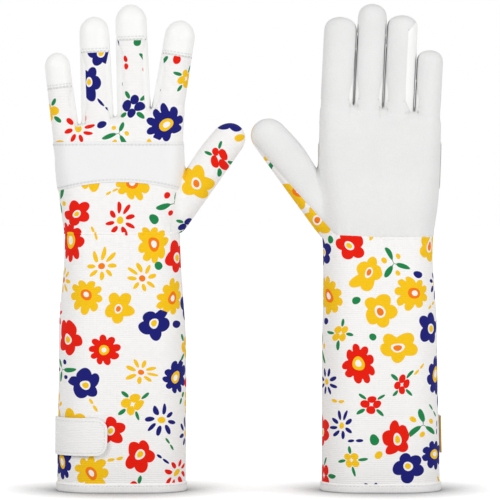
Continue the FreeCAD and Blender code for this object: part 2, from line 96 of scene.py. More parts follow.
def digit(
    name, x, z, lean, length, half_width, square=2.0, taper=0.07, depth=FINGER_DEPTH, flare=0.0, wide=0
):
    """A finger or thumb: its root, lean and size, how square its tip is, and how much it narrows on the way.

    flare widens the thumb's inner side, and wide names the side with the broad strip."""
    turn = math.radians(lean)
    dome = half_width * DOME
    return SimpleNamespace(
        name=name,
        root=(x, z),
        along=(math.sin(turn), math.cos(turn)),
        across=(math.cos(turn), -math.sin(turn)),
        length=length,
        dome=dome,
        shoulder=length - dome,
        half_width=half_width,
        half_depth=depth,
        square=square,
        taper=taper,
        flare=flare,
        wide=wide,
        strips=STRIP_SIDES[name],
    )


HEIGHTS = np.array([0.0, 65.0, 130.0, WRIST, 244.0, 270.0, 295.0, 330.0])
HALF_DEPTHS = np.array([31.0, 30.2, 29.0, 23.0, 20.5, 17.0, 14.2, 11.2])

GLOVES = [
    SimpleNamespace(
        name="a",
        place=-103.5,
        turn=1,
        half_widths=np.array([54.3, 54.4, 53.6, 49.0, 51.3, 53.8, 54.2, 57.6]),
        shifts=np.array([0.2, 0.7, 1.0, 0.7, -0.3, -0.9, -1.6, -3.3]),
        web=(316.0, 12.5),
        wrist=WRIST,
        thumb=digit("thumb", 45.2, 232.0, 35.7, 93.0, 14.2, depth=THUMB_DEPTH, flare=2.0),
        fingers={
            "index": digit("index", 39.1, 319.5, 9.4, 77.3, 13.6),
            "middle": digit("middle", 11.1, 319.5, -1.8, 89.8, 14.2),
            "ring": digit("ring", -19.6, 315.0, -2.1, 84.1, 13.6),
            "little": digit("little", -46.9, 306.0, -7.0, 63.2, 11.4),
        },
    ),
    SimpleNamespace(
        name="b",
        place=115.3,
        turn=-1,
        half_widths=np.array([50.2, 49.4, 48.5, 46.8, 49.6, 51.0, 51.4, 50.4]),
        shifts=np.array([-0.3, 0.2, 0.8, 2.0, 1.0, 0.8, 0.6, 0.0]),
        web=(322.5, 6.0),
        wrist=WRIST - 4.0,
        thumb=digit("thumb", 45.2, 232.0, 36.5, 98.0, 15.4, 2.3, depth=THUMB_DEPTH, flare=3.0),
        fingers={
            "index": digit("index", 36.9, 323.7, -2.7, 75.3, 13.9, 3.0, 0.0),
            "middle": digit("middle", 10.6, 323.7, -2.7, 86.3, 12.2, 2.6, 0.0),
            "ring": digit("ring", -14.9, 322.0, -2.7, 78.4, 13.05, 3.2, 0.0, wide=-1),
            "little": digit("little", -39.2, 317.0, -2.7, 54.0, 11.0, 3.0, 0.0),
        },
    ),
]

# ---------------------------------------------------------------- the gloves' form


def profile(z, values):
    """A smooth line through the values at HEIGHTS: each stretch is a cubic that shares its ends' slopes."""
    slopes = np.gradient(values, HEIGHTS)
    i = np.clip(np.searchsorted(HEIGHTS, z) - 1, 0, len(HEIGHTS) - 2)
    span = HEIGHTS[i + 1] - HEIGHTS[i]
    t = np.clip((z - HEIGHTS[i]) / span, 0, 1.2)
    rise = values[i + 1] - values[i]
    start, end = slopes[i] * span - rise, rise - slopes[i + 1] * span
    return values[i] + t * rise + t * (1 - t) * (start * (1 - t) + end * t)


def smooth(value, start, end):
    """0 below the start, 1 above the end, and an S-shaped curve between."""
    t = np.clip((value - start) / (end - start), 0, 1)
    return t * t * (3 - 2 * t)


def swell(a, b, softness):
    """The larger of two values, rounded off where they are within the softness of each other."""
    share = np.clip(0.5 + 0.5 * (a - b) / softness, 0, 1)
    return b + (a - b) * share + softness * share * (1 - share)


def to_digit(d, x, z):
    """Distance along a digit from its root, and across it from its middle line."""
    dx, dz = x - d.root[0], z - d.root[1]
    return dx * d.along[0] + dz * d.along[1], dx * d.across[0] + dz * d.across[1]


def from_digit(d, s, p):
    return d.root[0] + s * d.along[0] + p * d.across[0], d.root[1] + s * d.along[1] + p * d.across[1]


def digit_width(d, s):
    return d.half_width * (1 - d.taper * np.clip(s, -20, d.shoulder) / d.shoulder)


def digit_bulge(d, x, z):
    """A digit's squared half depth: depth² (1 - (p / width)² - tip - root), s along it and p across it."""
    s, p = to_digit(d, x, z)
    over = np.maximum(s - d.shoulder, 0) / d.dome
    under = np.maximum(-s - 8, 0) / 22
    middle, length = FLARE
    width = digit_width(d, s) + (p < 0) * d.flare * np.exp(-(((s - middle) / length) ** 2))
    return d.half_depth**2 * (1 - (p / width) ** 2 - over**d.square - under**2)


def tip_width(d, s):
    """A digit's half width where its dome narrows it too."""
    over = np.clip((s - d.shoulder) / d.dome, 0, 1)
    return digit_width(d, s) * np.sqrt(1 - over**d.square)


def hand_bulge(glove, x, z):
    """The hand's squared half depth: flat between half-round sides, closing in an arc over the web line."""
    width, depth, middle = (profile(z, v) for v in (glove.half_widths, HALF_DEPTHS, glove.shifts))
    side = np.maximum(np.abs(x - middle) - (width - depth), 0)
    web = glove.web[0] + x * math.tan(math.radians(glove.web[1]))
    top = np.maximum(z - web + KNUCKLE_ROUND, 0) / KNUCKLE_ROUND
    return depth**2 * (1 - top**2) - side**2


def bulge(glove, x, z):
    """The glove's squared half depth over a point of its middle plane, below zero outside its outline."""
    hand = hand_bulge(glove, x, z)
    whole = swell(hand, digit_bulge(glove.thumb, x, z), THUMB_BLEND)
    for finger in glove.fingers.values():
        whole = np.maximum(whole, swell(hand, digit_bulge(finger, x, z), FINGER_BLEND))
    return whole


def crossing(glove, x, z, dx, dz, near, far, level, leaving=True):
    """How far along a ray the half depth passes a level, found by halving the interval."""
    near, far, target = np.broadcast_arrays(near, far, np.asarray(level) ** 2 + 0 * x)[:3]
    near, far = near.astype(float), far.astype(float)
    for _ in range(34):
        middle = (near + far) / 2
        inside = bulge(glove, x + middle * dx, z + middle * dz) > target
        ahead = inside if leaving else ~inside
        near, far = np.where(ahead, middle, near), np.where(ahead, far, middle)
    return (near + far) / 2


def first_exit(glove, x, z, dx, dz, far, steps=48):
    """How far along a ray the outline is first crossed: a coarse walk finds the step, halving the place."""
    walk = far * np.linspace(0, 1, steps + 1)
    inside = bulge(glove, x[:, None] + walk * dx[:, None], z[:, None] + walk * dz[:, None]) > 0
    left = np.where(inside.all(axis=1), steps, (~inside).argmax(axis=1))
    return crossing(glove, x, z, dx, dz, walk[np.maximum(left - 1, 0)], walk[left], 0.0)


def side_edge(glove, z, side):
    """The x of the outline left (-1) or right (+1) of the hand's middle, at a height."""
    z = np.asarray(z, float)
    flat = z.ravel()
    middle = profile(flat, glove.shifts)
    reach = first_exit(glove, middle, flat, side + 0 * flat, 0 * flat, 75.0)
    return (middle + side * reach).reshape(z.shape)


def lift(glove, x, z, side):
    """Points of the glove's surface over (x, z): as far from the middle plane as the bulge says."""
    return np.stack([x, side * np.sqrt(np.maximum(bulge(glove, x, z), 0)), z], axis=-1)


def surface_normals(glove, points):
    """Unit normals at points of the glove's surface, from how the bulge changes along x and z."""
    x, y, z = (points[..., i] for i in range(3))
    step = 0.1
    along_x = bulge(glove, x + step, z) - bulge(glove, x - step, z)
    along_z = bulge(glove, x, z + step) - bulge(glove, x, z - step)
    normals = np.stack([-along_x / (2 * step), 2 * y, -along_z / (2 * step)], axis=-1)
    return normals / np.maximum(np.linalg.norm(normals, axis=-1, keepdims=True), 1e-9)


def thumb_crotch(glove):
    """The lowest point of the notch between thumb and hand."""
    x, z = np.meshgrid(np.linspace(48, 72, 97), np.linspace(255, 300, 181), indexing="ij")
    outside = bulge(glove, x, z) < 0
    first = np.where(outside.any(axis=1), outside.argmax(axis=1), 10**6)
    column = first.argmin()
    return x[column, 0], z[0, first[column]]


for glove in GLOVES:
    glove.crotch = thumb_crotch(glove)

# ---------------------------------------------------------------- from grids of points to meshes


def grid_normals(points):
    """Unit normals of a grid, from the slopes along its rows and columns."""
    normals = np.cross(np.gradient(points, axis=0), np.gradient(points, axis=1))
    length = np.linalg.norm(normals, axis=-1, keepdims=True)
    return normals / np.maximum(length, 1e-9)


def closed_up(values, gap):
    """The values with one more just inside each end, so that a panel's last faces follow its neighbour's."""
    return np.concatenate([values[:1], values[:1] + gap, values[1:-1], values[-1:] - gap, values[-1:]])


def edge_distance(points, axis, end):
    """How far each point lies from one end of its row or column, along the grid."""
    steps = np.linalg.norm(np.diff(points, axis=axis), axis=-1)
    total = np.concatenate([np.zeros_like(np.take(steps, [0], axis)), np.cumsum(steps, axis=axis)], axis=axis)
    return total if end == 0 else np.take(total, [-1], axis) - total


def ripple(points, height, wavelength):
    """Soft unevenness of sewn cloth: a few slanting waves added up, as high as the height says."""
    x, y, z = (points[..., i] / wavelength for i in range(3))
    first, second = np.sin(5.1 * x + 1.7 * z + 0.6), np.sin(2.3 * x - 4.3 * z + 2.1 * y)
    return height * (first + second + np.sin(3.4 * z + 3.9 * y - 1.3 * x)) / 3


def gathers(points, wrist):
    """Puckers that run up and down from the wrist seam and die away."""
    fold = np.sin(points[..., 0] * 0.93 + 0.6 * np.sin(points[..., 0] * 0.31))
    return GATHER_HEIGHT * fold * np.exp(-(((points[..., 2] - wrist) / GATHER_REACH) ** 2))


def shell(
    points,
    thickness,
    uv,
    normals=None,
    seams="",
    groove=0.5,
    uneven=0.25,
    wavelength=60.0,
    proud=0.0,
    wrist=None,
):
    """A panel: the grid pushed out along its normals, dipping at its sewn edges, with an inner face and rims.

    seams names the sewn edges: l and r for the first and last column, b and t for the first and last row."""
    if normals is None:
        normals = grid_normals(points)
        normals = normals * np.sign((normals * points * np.array([0.02, 1.0, 0.0])).sum())
    push = proud + ripple(points, uneven, wavelength)
    if wrist is not None:
        push = push + gathers(points, wrist)
    for letter, axis, end in (("b", 0, 0), ("t", 0, 1), ("l", 1, 0), ("r", 1, 1)):
        if letter in seams:
            push = push - groove * np.exp(-((edge_distance(points, axis, end) / SEAM_WIDTH) ** 2))
    outer = points + normals * push[..., None]
    inner = outer - normals * thickness
    rows, columns = points.shape[:2]
    index = np.arange(rows * columns).reshape(rows, columns)
    corner, right, up, far = index[:-1, :-1], index[:-1, 1:], index[1:, :-1], index[1:, 1:]
    quads = np.stack([corner, right, far, up], axis=-1).reshape(-1, 4)
    back = quads[:, ::-1] + rows * columns
    border = np.concatenate([index[0, :-1], index[:-1, -1], index[-1, :0:-1], index[:0:-1, 0]])
    after = np.roll(border, -1)
    rim = np.stack([border, border + rows * columns, after + rows * columns, after], axis=-1)
    faces = np.concatenate([quads, back, rim])
    both = np.concatenate([outer.reshape(-1, 3), inner.reshape(-1, 3)])
    return both, faces.tolist(), np.concatenate([uv.reshape(-1, 2)] * 2)


def skin(glove, points, thickness, uv, seams="", groove=0.5, **more):
    """A shell over the hand's own surface."""
    return shell(points, thickness, uv, surface_normals(glove, points), seams, groove, **more)


def ring(points, uv):
    """A grid whose rows and columns both close on themselves: a ring with a closed section."""
    rows, columns = points.shape[:2]
    index = np.arange(rows * columns).reshape(rows, columns)
    above = np.roll(index, -1, axis=0)
    quads = np.stack([index, np.roll(index, -1, axis=1), np.roll(above, -1, axis=1), above], axis=-1)
    return points.reshape(-1, 3), quads.reshape(-1, 4).tolist(), uv.reshape(-1, 2)


def stitches(path, normals, pitch=3.1, length=2.2, radius=0.32):
    """Short threads laid along a line of points, each a spindle half sunk in the surface."""
    steps = np.linalg.norm(np.diff(path, axis=0), axis=1)
    run = np.concatenate([[0.0], np.cumsum(steps)])
    at = np.arange(pitch * 0.7, run[-1] - pitch * 0.5, pitch)

    def along(values, where):
        return np.stack([np.interp(where, run, values[:, i]) for i in range(3)], axis=-1)

    centre, up = along(path, at), along(normals, at)
    forward = along(path, at + 0.5) - along(path, at - 0.5)
    forward /= np.linalg.norm(forward, axis=1, keepdims=True)
    side = np.cross(forward, up)
    side /= np.linalg.norm(side, axis=1, keepdims=True)
    up = np.cross(side, forward)
    sides = 6
    turn = np.linspace(0, 2 * math.pi, sides, endpoint=False)
    stations = np.array([-0.5, -0.42, 0.0, 0.42, 0.5]) * length
    girths = np.array([0.0, 0.75, 1.0, 0.75, 0.0]) * radius
    round_part = np.cos(turn)[None, :, None] * side[:, None] + np.sin(turn)[None, :, None] * up[:, None]
    body = centre[:, None, None] + stations[None, 1:4, None, None] * forward[:, None, None]
    body = body + girths[None, 1:4, None, None] * round_part[:, None]
    tips = centre[:, None] + stations[None, [0, 4], None] * forward[:, None]
    points = np.concatenate([body.reshape(len(at), -1, 3), tips], axis=1)
    count = 3 * sides + 2
    faces = []
    for i in range(sides):
        j = (i + 1) % sides
        faces += [(i, j, j + sides, i + sides), (i + sides, j + sides, j + 2 * sides, i + 2 * sides)]
        faces += [(j, i, count - 2), (i + 2 * sides, j + 2 * sides, count - 1)]
    every = [tuple(corner + n * count for corner in face) for n in range(len(at)) for face in faces]
    uv = np.repeat(np.stack([at, 0 * at], axis=-1), count, axis=0)
    return points.reshape(-1, 3), every, uv


def place(glove, points):
    """Carries points from a glove's own frame in millimetres to the row frame in metres."""
    turned = points * np.array([glove.turn, glove.turn, 1.0])
    return (turned + np.array([glove.place, 0.0, 0.0])) * MM


def make_piece(glove, name, parts, material, threads=()):
    """One mesh object from several (points, faces, uv) parts and threads, welded where they meet."""
    every = list(parts) + list(threads)
    counts = np.cumsum([0] + [len(part[0]) for part in every])
    points = place(glove, np.concatenate([part[0] for part in every]))
    faces = [[corner + count for corner in face] for part, count in zip(every, counts) for face in part[1]]
    slots = np.repeat([0] * len(parts) + [1] * len(threads), [len(part[1]) for part in every])
    uv = np.concatenate([part[2] for part in every]) * MM
    mesh = bpy.data.meshes.new(name)
    mesh.from_pydata(points.tolist(), [], faces)
    layer = mesh.uv_layers.new(name="print")
    corners = np.empty(len(mesh.loops), dtype=np.int32)
    mesh.loops.foreach_get("vertex_index", corners)
    layer.data.foreach_set("uv", uv[corners].astype(np.float32).ravel())
    mesh.materials.append(material)
    if threads:
        mesh.materials.append(THREAD)
        mesh.polygons.foreach_set("material_index", slots.astype(np.int32))
    piece = bpy.data.objects.new(f"{name}_look_{glove.name}", mesh)
    bpy.context.scene.collection.objects.link(piece)
    tidy_mesh(mesh)
    return piece


def tidy_mesh(mesh):
    """Merges doubled corners, drops empty faces, points faces outwards and smooths all but sharp turns."""
    work = bmesh.new()
    work.from_mesh(mesh)
    bmesh.ops.remove_doubles(work, verts=work.verts, dist=2e-6)
    bmesh.ops.dissolve_degenerate(work, edges=work.edges, dist=1e-7)
    bmesh.ops.recalc_face_normals(work, faces=work.faces)
    work.to_mesh(mesh)
    work.free()
    mesh.shade_smooth()
    mesh.set_sharp_from_angle(angle=math.radians(40))


# ---------------------------------------------------------------- panels of the hand


def hand_uv(glove, points):
    """Print coordinates of the hand: its width unrolled over the half-round sides, and its height."""
    x, z = points[..., 0], points[..., 2]
    width, depth, middle = (profile(z, v) for v in (glove.half_widths, HALF_DEPTHS, glove.shifts))
    flat = width - depth
    over = np.clip((np.abs(x - middle) - flat) / depth, 0, 1)
    unrolled = np.minimum(np.abs(x - middle), flat) + depth * np.arcsin(over)
    return np.stack([middle + np.sign(x - middle) * unrolled, z], axis=-1)


def band(glove, side, low, high, left, right, rows=40, columns=90):
    """A panel between two lines z(x) and two edges x(z), found by putting each into the other a few times."""
    v = closed_up(np.linspace(0, 1, rows), 0.002)[:, None]
    u = (np.sin(np.radians(np.linspace(-90, 90, columns)))[None, :] + 1) / 2
    z = np.full((len(v), columns), (glove.wrist + PATCH_TOP) / 2)
    for _ in range(8):
        ends = [edge(z[:, [column]]) for edge, column in ((left, 0), (right, -1))]
        x = ends[0] + (ends[1] - ends[0]) * u
        z = low(x) + (high(x) - low(x)) * v
    return lift(glove, x, z, side)


def patch_low(x):
    """The patch's lower edge, an arc that is highest at the middle."""
    return PATCH_DIP - PATCH_ARCH + np.sqrt(PATCH_ARCH**2 - np.clip(x, -90, 90) ** 2)


def right_edge(glove, foot):
    """The hand's panel ends at the thumb's seam up to the notch, and at the outline above it."""
    top_x, top_z = glove.crotch

    def edge(z):
        seam = foot + (top_x - foot) * (z - glove.wrist) / (top_z - glove.wrist)
        return np.where(z < top_z, seam, side_edge(glove, np.maximum(z, top_z + 0.3), 1))

    return edge


def strip_top(d, face, sign):
    return d.length - (4.0 if face == FRONT and sign == d.wide else CAP - 6.0)


def strip_level(d, s, face, sign):
    """Half the width of a side strip towards one face: full at the root, and narrowing to a point."""
    full, point = STRIP_BACK, STRIP_POINT
    if face == FRONT and sign == d.wide:
        full, point = STRIP_WIDE, STRIP_POINT / 2
    elif face == FRONT:
        full = STRIP_FRONT + (STRIP_SLIM - STRIP_FRONT) * smooth(s, 10.0, 32.0)
    return full * np.sqrt(np.clip((strip_top(d, face, sign) - s) / point, 0, 1))


def finger_rows(glove, d, s, face, columns):
    """Rows across a digit from one edge to the other: to the outline, or to where its side strip begins."""
    s = np.asarray(s, float)
    edges = []
    for sign in (-1, 1):
        strip = sign in d.strips
        level = strip_level(d, s, face, sign) if strip else np.zeros_like(s)
        x, z = from_digit(d, s, 0 * s)
        far = tip_width(d, s) + (0.25 if strip else 5.0)
        reach = crossing(glove, x, z, sign * d.across[0], sign * d.across[1], 0, far, level)
        turn = np.arccos(np.clip(level / d.half_depth, 0, 0.98))
        edges.append((np.where(s >= d.length - 1e-6, 0, reach), turn))
    t = np.linspace(-1, 1, columns)[None, :]
    reach = np.where(t < 0, edges[0][0][:, None], edges[1][0][:, None])
    turn = np.where(t < 0, edges[0][1][:, None], edges[1][1][:, None])
    p = reach * np.sin(t * turn) / np.sin(turn)
    x, z = from_digit(d, s[:, None], p)
    points = lift(glove, x, z, face)
    unrolled = (reach * t * turn / np.sin(turn) - p) * smooth(s, FINGER_JOIN, 35.0)[:, None]
    return points, np.stack([x + unrolled, z], axis=-1)


def gaps(glove):
    """Pairs of neighbouring fingers, from the little finger on, with the ends of the line between them."""
    pairs = []
    for first, second in zip(DIGIT_ORDER[:-1], DIGIT_ORDER[1:]):
        a, b = glove.fingers[first], glove.fingers[second]
        right = from_digit(a, FINGER_JOIN, float(digit_width(a, FINGER_JOIN)))
        left = from_digit(b, FINGER_JOIN, -float(digit_width(b, FINGER_JOIN)))
        middle_x = (right[0] + left[0]) / 2
        ends = []
        for d, point in ((a, right), (b, left)):
            shift = (middle_x - point[0]) / d.across[0]
            ends.append((point[0] + shift * d.across[0], point[1] + shift * d.across[1]))
        pairs.append((a, b, *ends))
    return pairs


def web_level(gap, face, count):
    """The half depth where the web's leather ends, by ray: from one finger's strip to the other's.

    It closes in on both sides, so that the panel beside it nowhere doubles back, and dips between them."""
    t = np.linspace(0, 1, count)
    ends = [strip_level(d, FINGER_JOIN, face, sign) for d, sign in ((gap[0], 1), (gap[1], -1))]
    inside = smooth(t, 0.0, 0.45) * (1 - smooth(t, 0.55, 1.0))
    tongue = WEB_TONGUE[0 if face == BACK else 1] * np.sin(math.pi * t) ** 5
    return (ends[0] + (ends[1] - ends[0]) * t) * (1 - WEB_CLOSES * inside) + tongue


def web_rays(glove, gap, level, count):
    """Points where the surface round the foot of a gap is a given half depth: rays fan out from the gap.

    level has a row for each line of points and a column for each ray."""
    a, b, start, end = gap
    t = np.linspace(0, 1, count)
    first = math.atan2(-a.across[1], -a.across[0]) % (2 * math.pi)
    last = math.atan2(b.across[1], b.across[0]) % (2 * math.pi)
    last = last if last > first else last + 2 * math.pi
    angle = first + (last - first) * t
    x = start[0] + (end[0] - start[0]) * t
    z = start[1] + (end[1] - start[1]) * t
    x, z, dx, dz = (np.broadcast_to(v, level.shape) for v in (x, z, np.cos(angle), np.sin(angle)))
    far = 15.0
    reach = crossing(glove, x, z, dx, dz, 0.0, far, level, leaving=False)
    return x + reach * dx, z + reach * dz


def scalloped(glove, face, columns=17, fan=15):
    """Where the hand's panel meets the fingers and dips round the webs, from the little finger's side."""
    parts = []
    pairs = gaps(glove)
    for number, name in enumerate(DIGIT_ORDER):
        row, _ = finger_rows(glove, glove.fingers[name], [FINGER_JOIN], face, columns)
        parts.append(row[0][:, [0, 2]])
        if number < len(pairs):
            x, z = web_rays(glove, pairs[number], web_level(pairs[number], face, fan)[None], fan)
            parts.append(np.stack([x[0], z[0]], axis=-1)[1:-1])
    return np.concatenate(parts)


def root_band(glove, face, foot, rows=26):
    """The panel under the fingers, from a line z(x) up to the scalloped line: columns shift sideways first.

    Its two outer columns then follow the glove's outline."""
    top = scalloped(glove, face)
    least = 0.02 * np.arange(len(top))
    top[:, 0] = np.maximum.accumulate(top[:, 0] - least) + least  # never doubles back
    steps = np.abs(np.diff(top[:, 0])) + 0.12 * np.abs(np.diff(top[:, 1]))  # upright stretches get columns too
    share = np.concatenate([[0.0], np.cumsum(steps) / steps.sum()])
    middle_z = foot(np.array([0.0]))[0]
    ends = [side_edge(glove, np.array([middle_z]), sign)[0] for sign in (-1, 1)]
    x_low = ends[0] + (ends[1] - ends[0]) * share
    z_low = foot(x_low)
    level = top[0, 1] + (top[-1, 1] - top[0, 1]) * share
    v = closed_up(np.linspace(0, 1, rows), 0.004)[:, None]
    shifted, late = 0.45, 2.5  # the height by which columns have shifted, and how late the rows dip
    x = x_low + (top[:, 0] - x_low) * smooth(v, 0.0, shifted)
    z = z_low + (level - z_low) * v + (top[:, 1] - level) * v**late
    for end, sign, name in ((0, -1, "little"), (-1, 1, "index")):
        start = glove.fingers[name].root[0] + 0 * z[:, end]
        outline = start + sign * first_exit(glove, start, z[:, end], sign + 0 * start, 0 * start, 30.0)
        gap = np.where((v[:, 0] > 0) & (v[:, 0] < 1), outline - x[:, end], 0.0)
        weight = share if sign > 0 else 1 - share
        x = x + gap[:, None] * weight[None] ** 3
    return lift(glove, x, z, face)


def seam_offset(s):
    """How far the print's edge on the palm side lies from the thumb's middle line."""
    start, slope = THUMB_SEAM
    return start + slope * s


def palm_foot(glove):
    """Where the print's edge on the thumb's palm side meets the wrist."""
    d = glove.thumb
    start, slope = THUMB_SEAM
    dz = glove.wrist - d.root[1]
    along, across = d.along, d.across
    dx = (start + slope * dz * along[1] - dz * across[1]) / (across[0] - slope * along[0])
    return d.root[0] + dx


def thumb_side(glove, s, sign):
    """Points of the outline beside the thumb, at distances along it: its inner (-1) or outer (+1) side."""
    d = glove.thumb
    x, z = from_digit(d, s, 0 * s)
    far = tip_width(d, s) + 8
    reach = crossing(glove, x, z, sign * d.across[0], sign * d.across[1], 0, far, 0.0)
    reach = np.where(s >= d.length - 1e-6, 0, reach)
    return np.stack([x + sign * reach * d.across[0], z + sign * reach * d.across[1]], axis=-1)


def even_path(points, shares):
    """Points at shares of the way along a line of points."""
    run = np.concatenate([[0.0], np.cumsum(np.linalg.norm(np.diff(points, axis=0), axis=1))])
    at = run[-1] * shares
    return np.stack([np.interp(at, run, points[:, 0]), np.interp(at, run, points[:, 1])], axis=-1)


def thumb_bounds(glove, foot, rows=34):
    """Lines up the thumb's root from the hand's seam to the join: inner side, outer side, print edge."""
    d = glove.thumb
    shares = closed_up(np.linspace(0, 1, rows), 0.003)
    crotch = np.array(glove.crotch)
    start, _ = to_digit(d, *crotch)
    inner = thumb_side(glove, start + (THUMB_JOIN - start) * shares, -1)
    inner[0] = crotch
    corner = side_edge(glove, glove.wrist, 1)
    wrist = np.stack([np.linspace(foot, corner, 20), np.full(20, glove.wrist)], axis=-1)
    s = np.linspace(to_digit(d, corner, glove.wrist)[0], THUMB_JOIN, 60)[1:]
    outer = even_path(np.concatenate([wrist, thumb_side(glove, s, 1)]), shares)
    end = np.array(from_digit(d, THUMB_JOIN, seam_offset(THUMB_JOIN)))
    begin = np.array([palm_foot(glove), glove.wrist])
    edge = begin + (end - begin) * shares[:, None]
    return inner, outer, edge


def ruled_panel(glove, face, low, high, columns, steep):
    """Straight rows between two lines, lifted to the surface. steep says which lines lie on the outline."""
    u = closed_up(np.linspace(0, 1, columns), 0.004)
    share = {
        "both": 0.5 - 0.5 * np.cos(math.pi * u),
        "high": np.sin(math.pi / 2 * u),
        "low": 1 - np.cos(math.pi / 2 * u),
    }[steep][None, :, None]
    flat = low[:, None] + (high - low)[:, None] * share
    return lift(glove, flat[..., 0], flat[..., 1], face)


# ---------------------------------------------------------------- panels of the digits


def tip_steps(d, start, along_steps, dome_steps):
    """Distances along a digit: even steps to the shoulder, then the sines of even angles over the dome."""
    straight = closed_up(np.linspace(start, d.shoulder, along_steps), 0.15)[:-2]
    dome = d.shoulder + d.dome * np.sin(np.linspace(0, math.pi / 2, dome_steps))
    return np.concatenate([straight, dome])


def strip_panel(glove, d, sign):
    """A side strip: rows along the digit, columns from the back's edge round the outline to the front's."""
    top = strip_top(d, FRONT, sign)
    s = closed_up(np.linspace(FINGER_JOIN, top - 0.05, 40), 0.15)
    t = np.linspace(0, 1, 11)[None, :]
    back, front = (strip_level(d, s, face, sign)[:, None] for face in (BACK, FRONT))
    y = -back + (back + front) * t
    x, z = (v[:, None] + 0 * t for v in from_digit(d, s, 0 * s))
    far = digit_width(d, s)[:, None] + 0.25
    reach = crossing(glove, x, z, sign * d.across[0], sign * d.across[1], 0 * y, far + 0 * y, np.abs(y))
    points = np.stack([x + reach * sign * d.across[0], y, z + reach * sign * d.across[1]], axis=-1)
    return points, np.stack([y, z], axis=-1)


def web_panel(glove, gap, fan=15, columns=11):
    """The leather at the foot of a gap: rows by half depth from back to front, columns by ray."""
    back, front = (web_level(gap, face, fan) for face in (BACK, FRONT))
    y = -back + (back + front) * np.linspace(0, 1, columns)[:, None]
    x, z = web_rays(glove, gap, np.abs(y), fan)
    return np.stack([x, y, z], axis=-1)


def thumb_lines(glove):
    """The thumb above its join: its inner side, its outer side, and the print's edge on the palm side."""
    d = glove.thumb
    s = tip_steps(d, THUMB_JOIN, 26, 12)
    inner, outer = thumb_side(glove, s, -1), thumb_side(glove, s, 1)
    reach = np.minimum(seam_offset(s), to_digit(d, outer[:, 0], outer[:, 1])[1])
    edge = np.stack(from_digit(d, s, reach), axis=-1)
    return inner, outer, edge


# ---------------------------------------------------------------- the gauntlet


def round_gauntlet(glove, q, z, offset, face=BACK):
    """A point on the gauntlet, q along its girth from the little finger's side seam, offset outwards.

    The section is a half circle, a straight side and a half circle; z only picks the section."""
    width, depth, middle = (profile(z, v) for v in (glove.half_widths, HALF_DEPTHS, glove.shifts))
    flat = width - depth
    quarter = depth * math.pi / 2
    first = np.clip(q, -quarter, quarter) / depth
    last = np.clip(q - quarter - 2 * flat, 0, None) / depth
    straight = np.clip(q - quarter, 0, 2 * flat)
    angle = first + last
    x = middle - flat + straight - (depth + offset) * np.cos(angle)
    y = face * (depth + offset) * np.sin(angle)
    return np.stack(np.broadcast_arrays(x, y, z), axis=-1)


def half_girth(glove, z):
    width, depth = profile(z, glove.half_widths), profile(z, HALF_DEPTHS)
    return 2 * (width - depth) + math.pi * depth


def gauntlet_panel(glove, face):
    """One half of the gauntlet between its side seams, from the hem to the wrist."""
    z = np.linspace(HEM - 3, WRIST, 110)[:, None]
    q = half_girth(glove, z) * np.linspace(0, 1, 100)[None, :]
    points = round_gauntlet(glove, q, z + 0 * q, 0.0, face)
    uv = np.stack([q - half_girth(glove, z) / 2, z + 0 * q], axis=-1)
    return points, uv


# ---------------------------------------------------------------- shader building


class Shader:
    """A node tree and short ways to add to it."""

    def __init__(self, tree):
        self.tree = tree

    def new(self, kind):
        return self.tree.nodes.new(f"ShaderNode{kind}")

    def node(self, kind, settings=(), **inputs):
        made = self.new(kind)
        for name, value in dict(settings).items():
            setattr(made, name, value)
        return self.feed(made, inputs)

    def group(self, tree, **inputs):
        made = self.new("Group")
        made.node_tree = tree
        return self.feed(made, inputs)

    def feed(self, made, inputs):
        for name, value in inputs.items():
            self.set(made.inputs[name.replace("_", " ")], value)
        return made

    def set(self, socket, value):
        if isinstance(value, bpy.types.NodeSocket):
            self.tree.links.new(value, socket)
        else:
            socket.default_value = value

    def math(self, operation, *values, clamp=False):
        made = self.new("Math")
        made.operation = operation
        made.use_clamp = clamp
        for socket, value in zip(made.inputs, values):
            self.set(socket, value)
        return made.outputs[0]

    def plus(self, a, b):
        return self.math("ADD", a, b)

    def less(self, a, b):
        return self.math("SUBTRACT", a, b)

    def times(self, a, b):
        return self.math("MULTIPLY", a, b)

    def vector(self, operation, *values):
        made = self.new("VectorMath")
        made.operation = operation
        for socket, value in zip(made.inputs, values):
            self.set(socket, value[:3] if isinstance(value, tuple) else value)
        return made.outputs["Value"] if operation == "LENGTH" else made.outputs[0]

    def scaled(self, vector, factor):
        made = self.vector("SCALE", vector)
        self.set(made.node.inputs["Scale"], factor)
        return made

    def over(self, mask, below, above):
        """The colour above where the mask is 1, and the colour below where it is 0."""
        made = self.new("Mix")
        made.data_type = "RGBA"
        for socket, value in ((0, mask), (6, below), (7, above)):
            self.set(made.inputs[socket], value)
        return made.outputs[2]

    def inside(self, distance, edge, soft=0.006):
        """1 where the distance is under the edge, fading to 0 over a short width."""
        return self.math("DIVIDE", self.less(edge, distance), soft, clamp=True)

    def between(self, value, low, high):
        return self.times(self.math("GREATER_THAN", value, low), self.math("LESS_THAN", value, high))

    def split(self, vector):
        made = self.new("SeparateXYZ")
        self.set(made.inputs[0], vector)
        return made.outputs[0], made.outputs[1], made.outputs[2]


def new_group(name, numbers, results):
    """An empty group with a Place input, number inputs and outputs: its helper and its two ends."""
    tree = bpy.data.node_groups.new(name, "ShaderNodeTree")
    tree.interface.new_socket("Place", in_out="INPUT", socket_type="NodeSocketVector")
    for label in numbers:
        tree.interface.new_socket(label, in_out="INPUT", socket_type="NodeSocketFloat")
    for label, kind in results.items():
        tree.interface.new_socket(label, in_out="OUTPUT", socket_type=f"NodeSocket{kind}")
    entry, leave = tree.nodes.new("NodeGroupInput"), tree.nodes.new("NodeGroupOutput")
    return Shader(tree), entry.outputs, leave.inputs


def colour(r, g, b):
    return (r, g, b, 1.0)


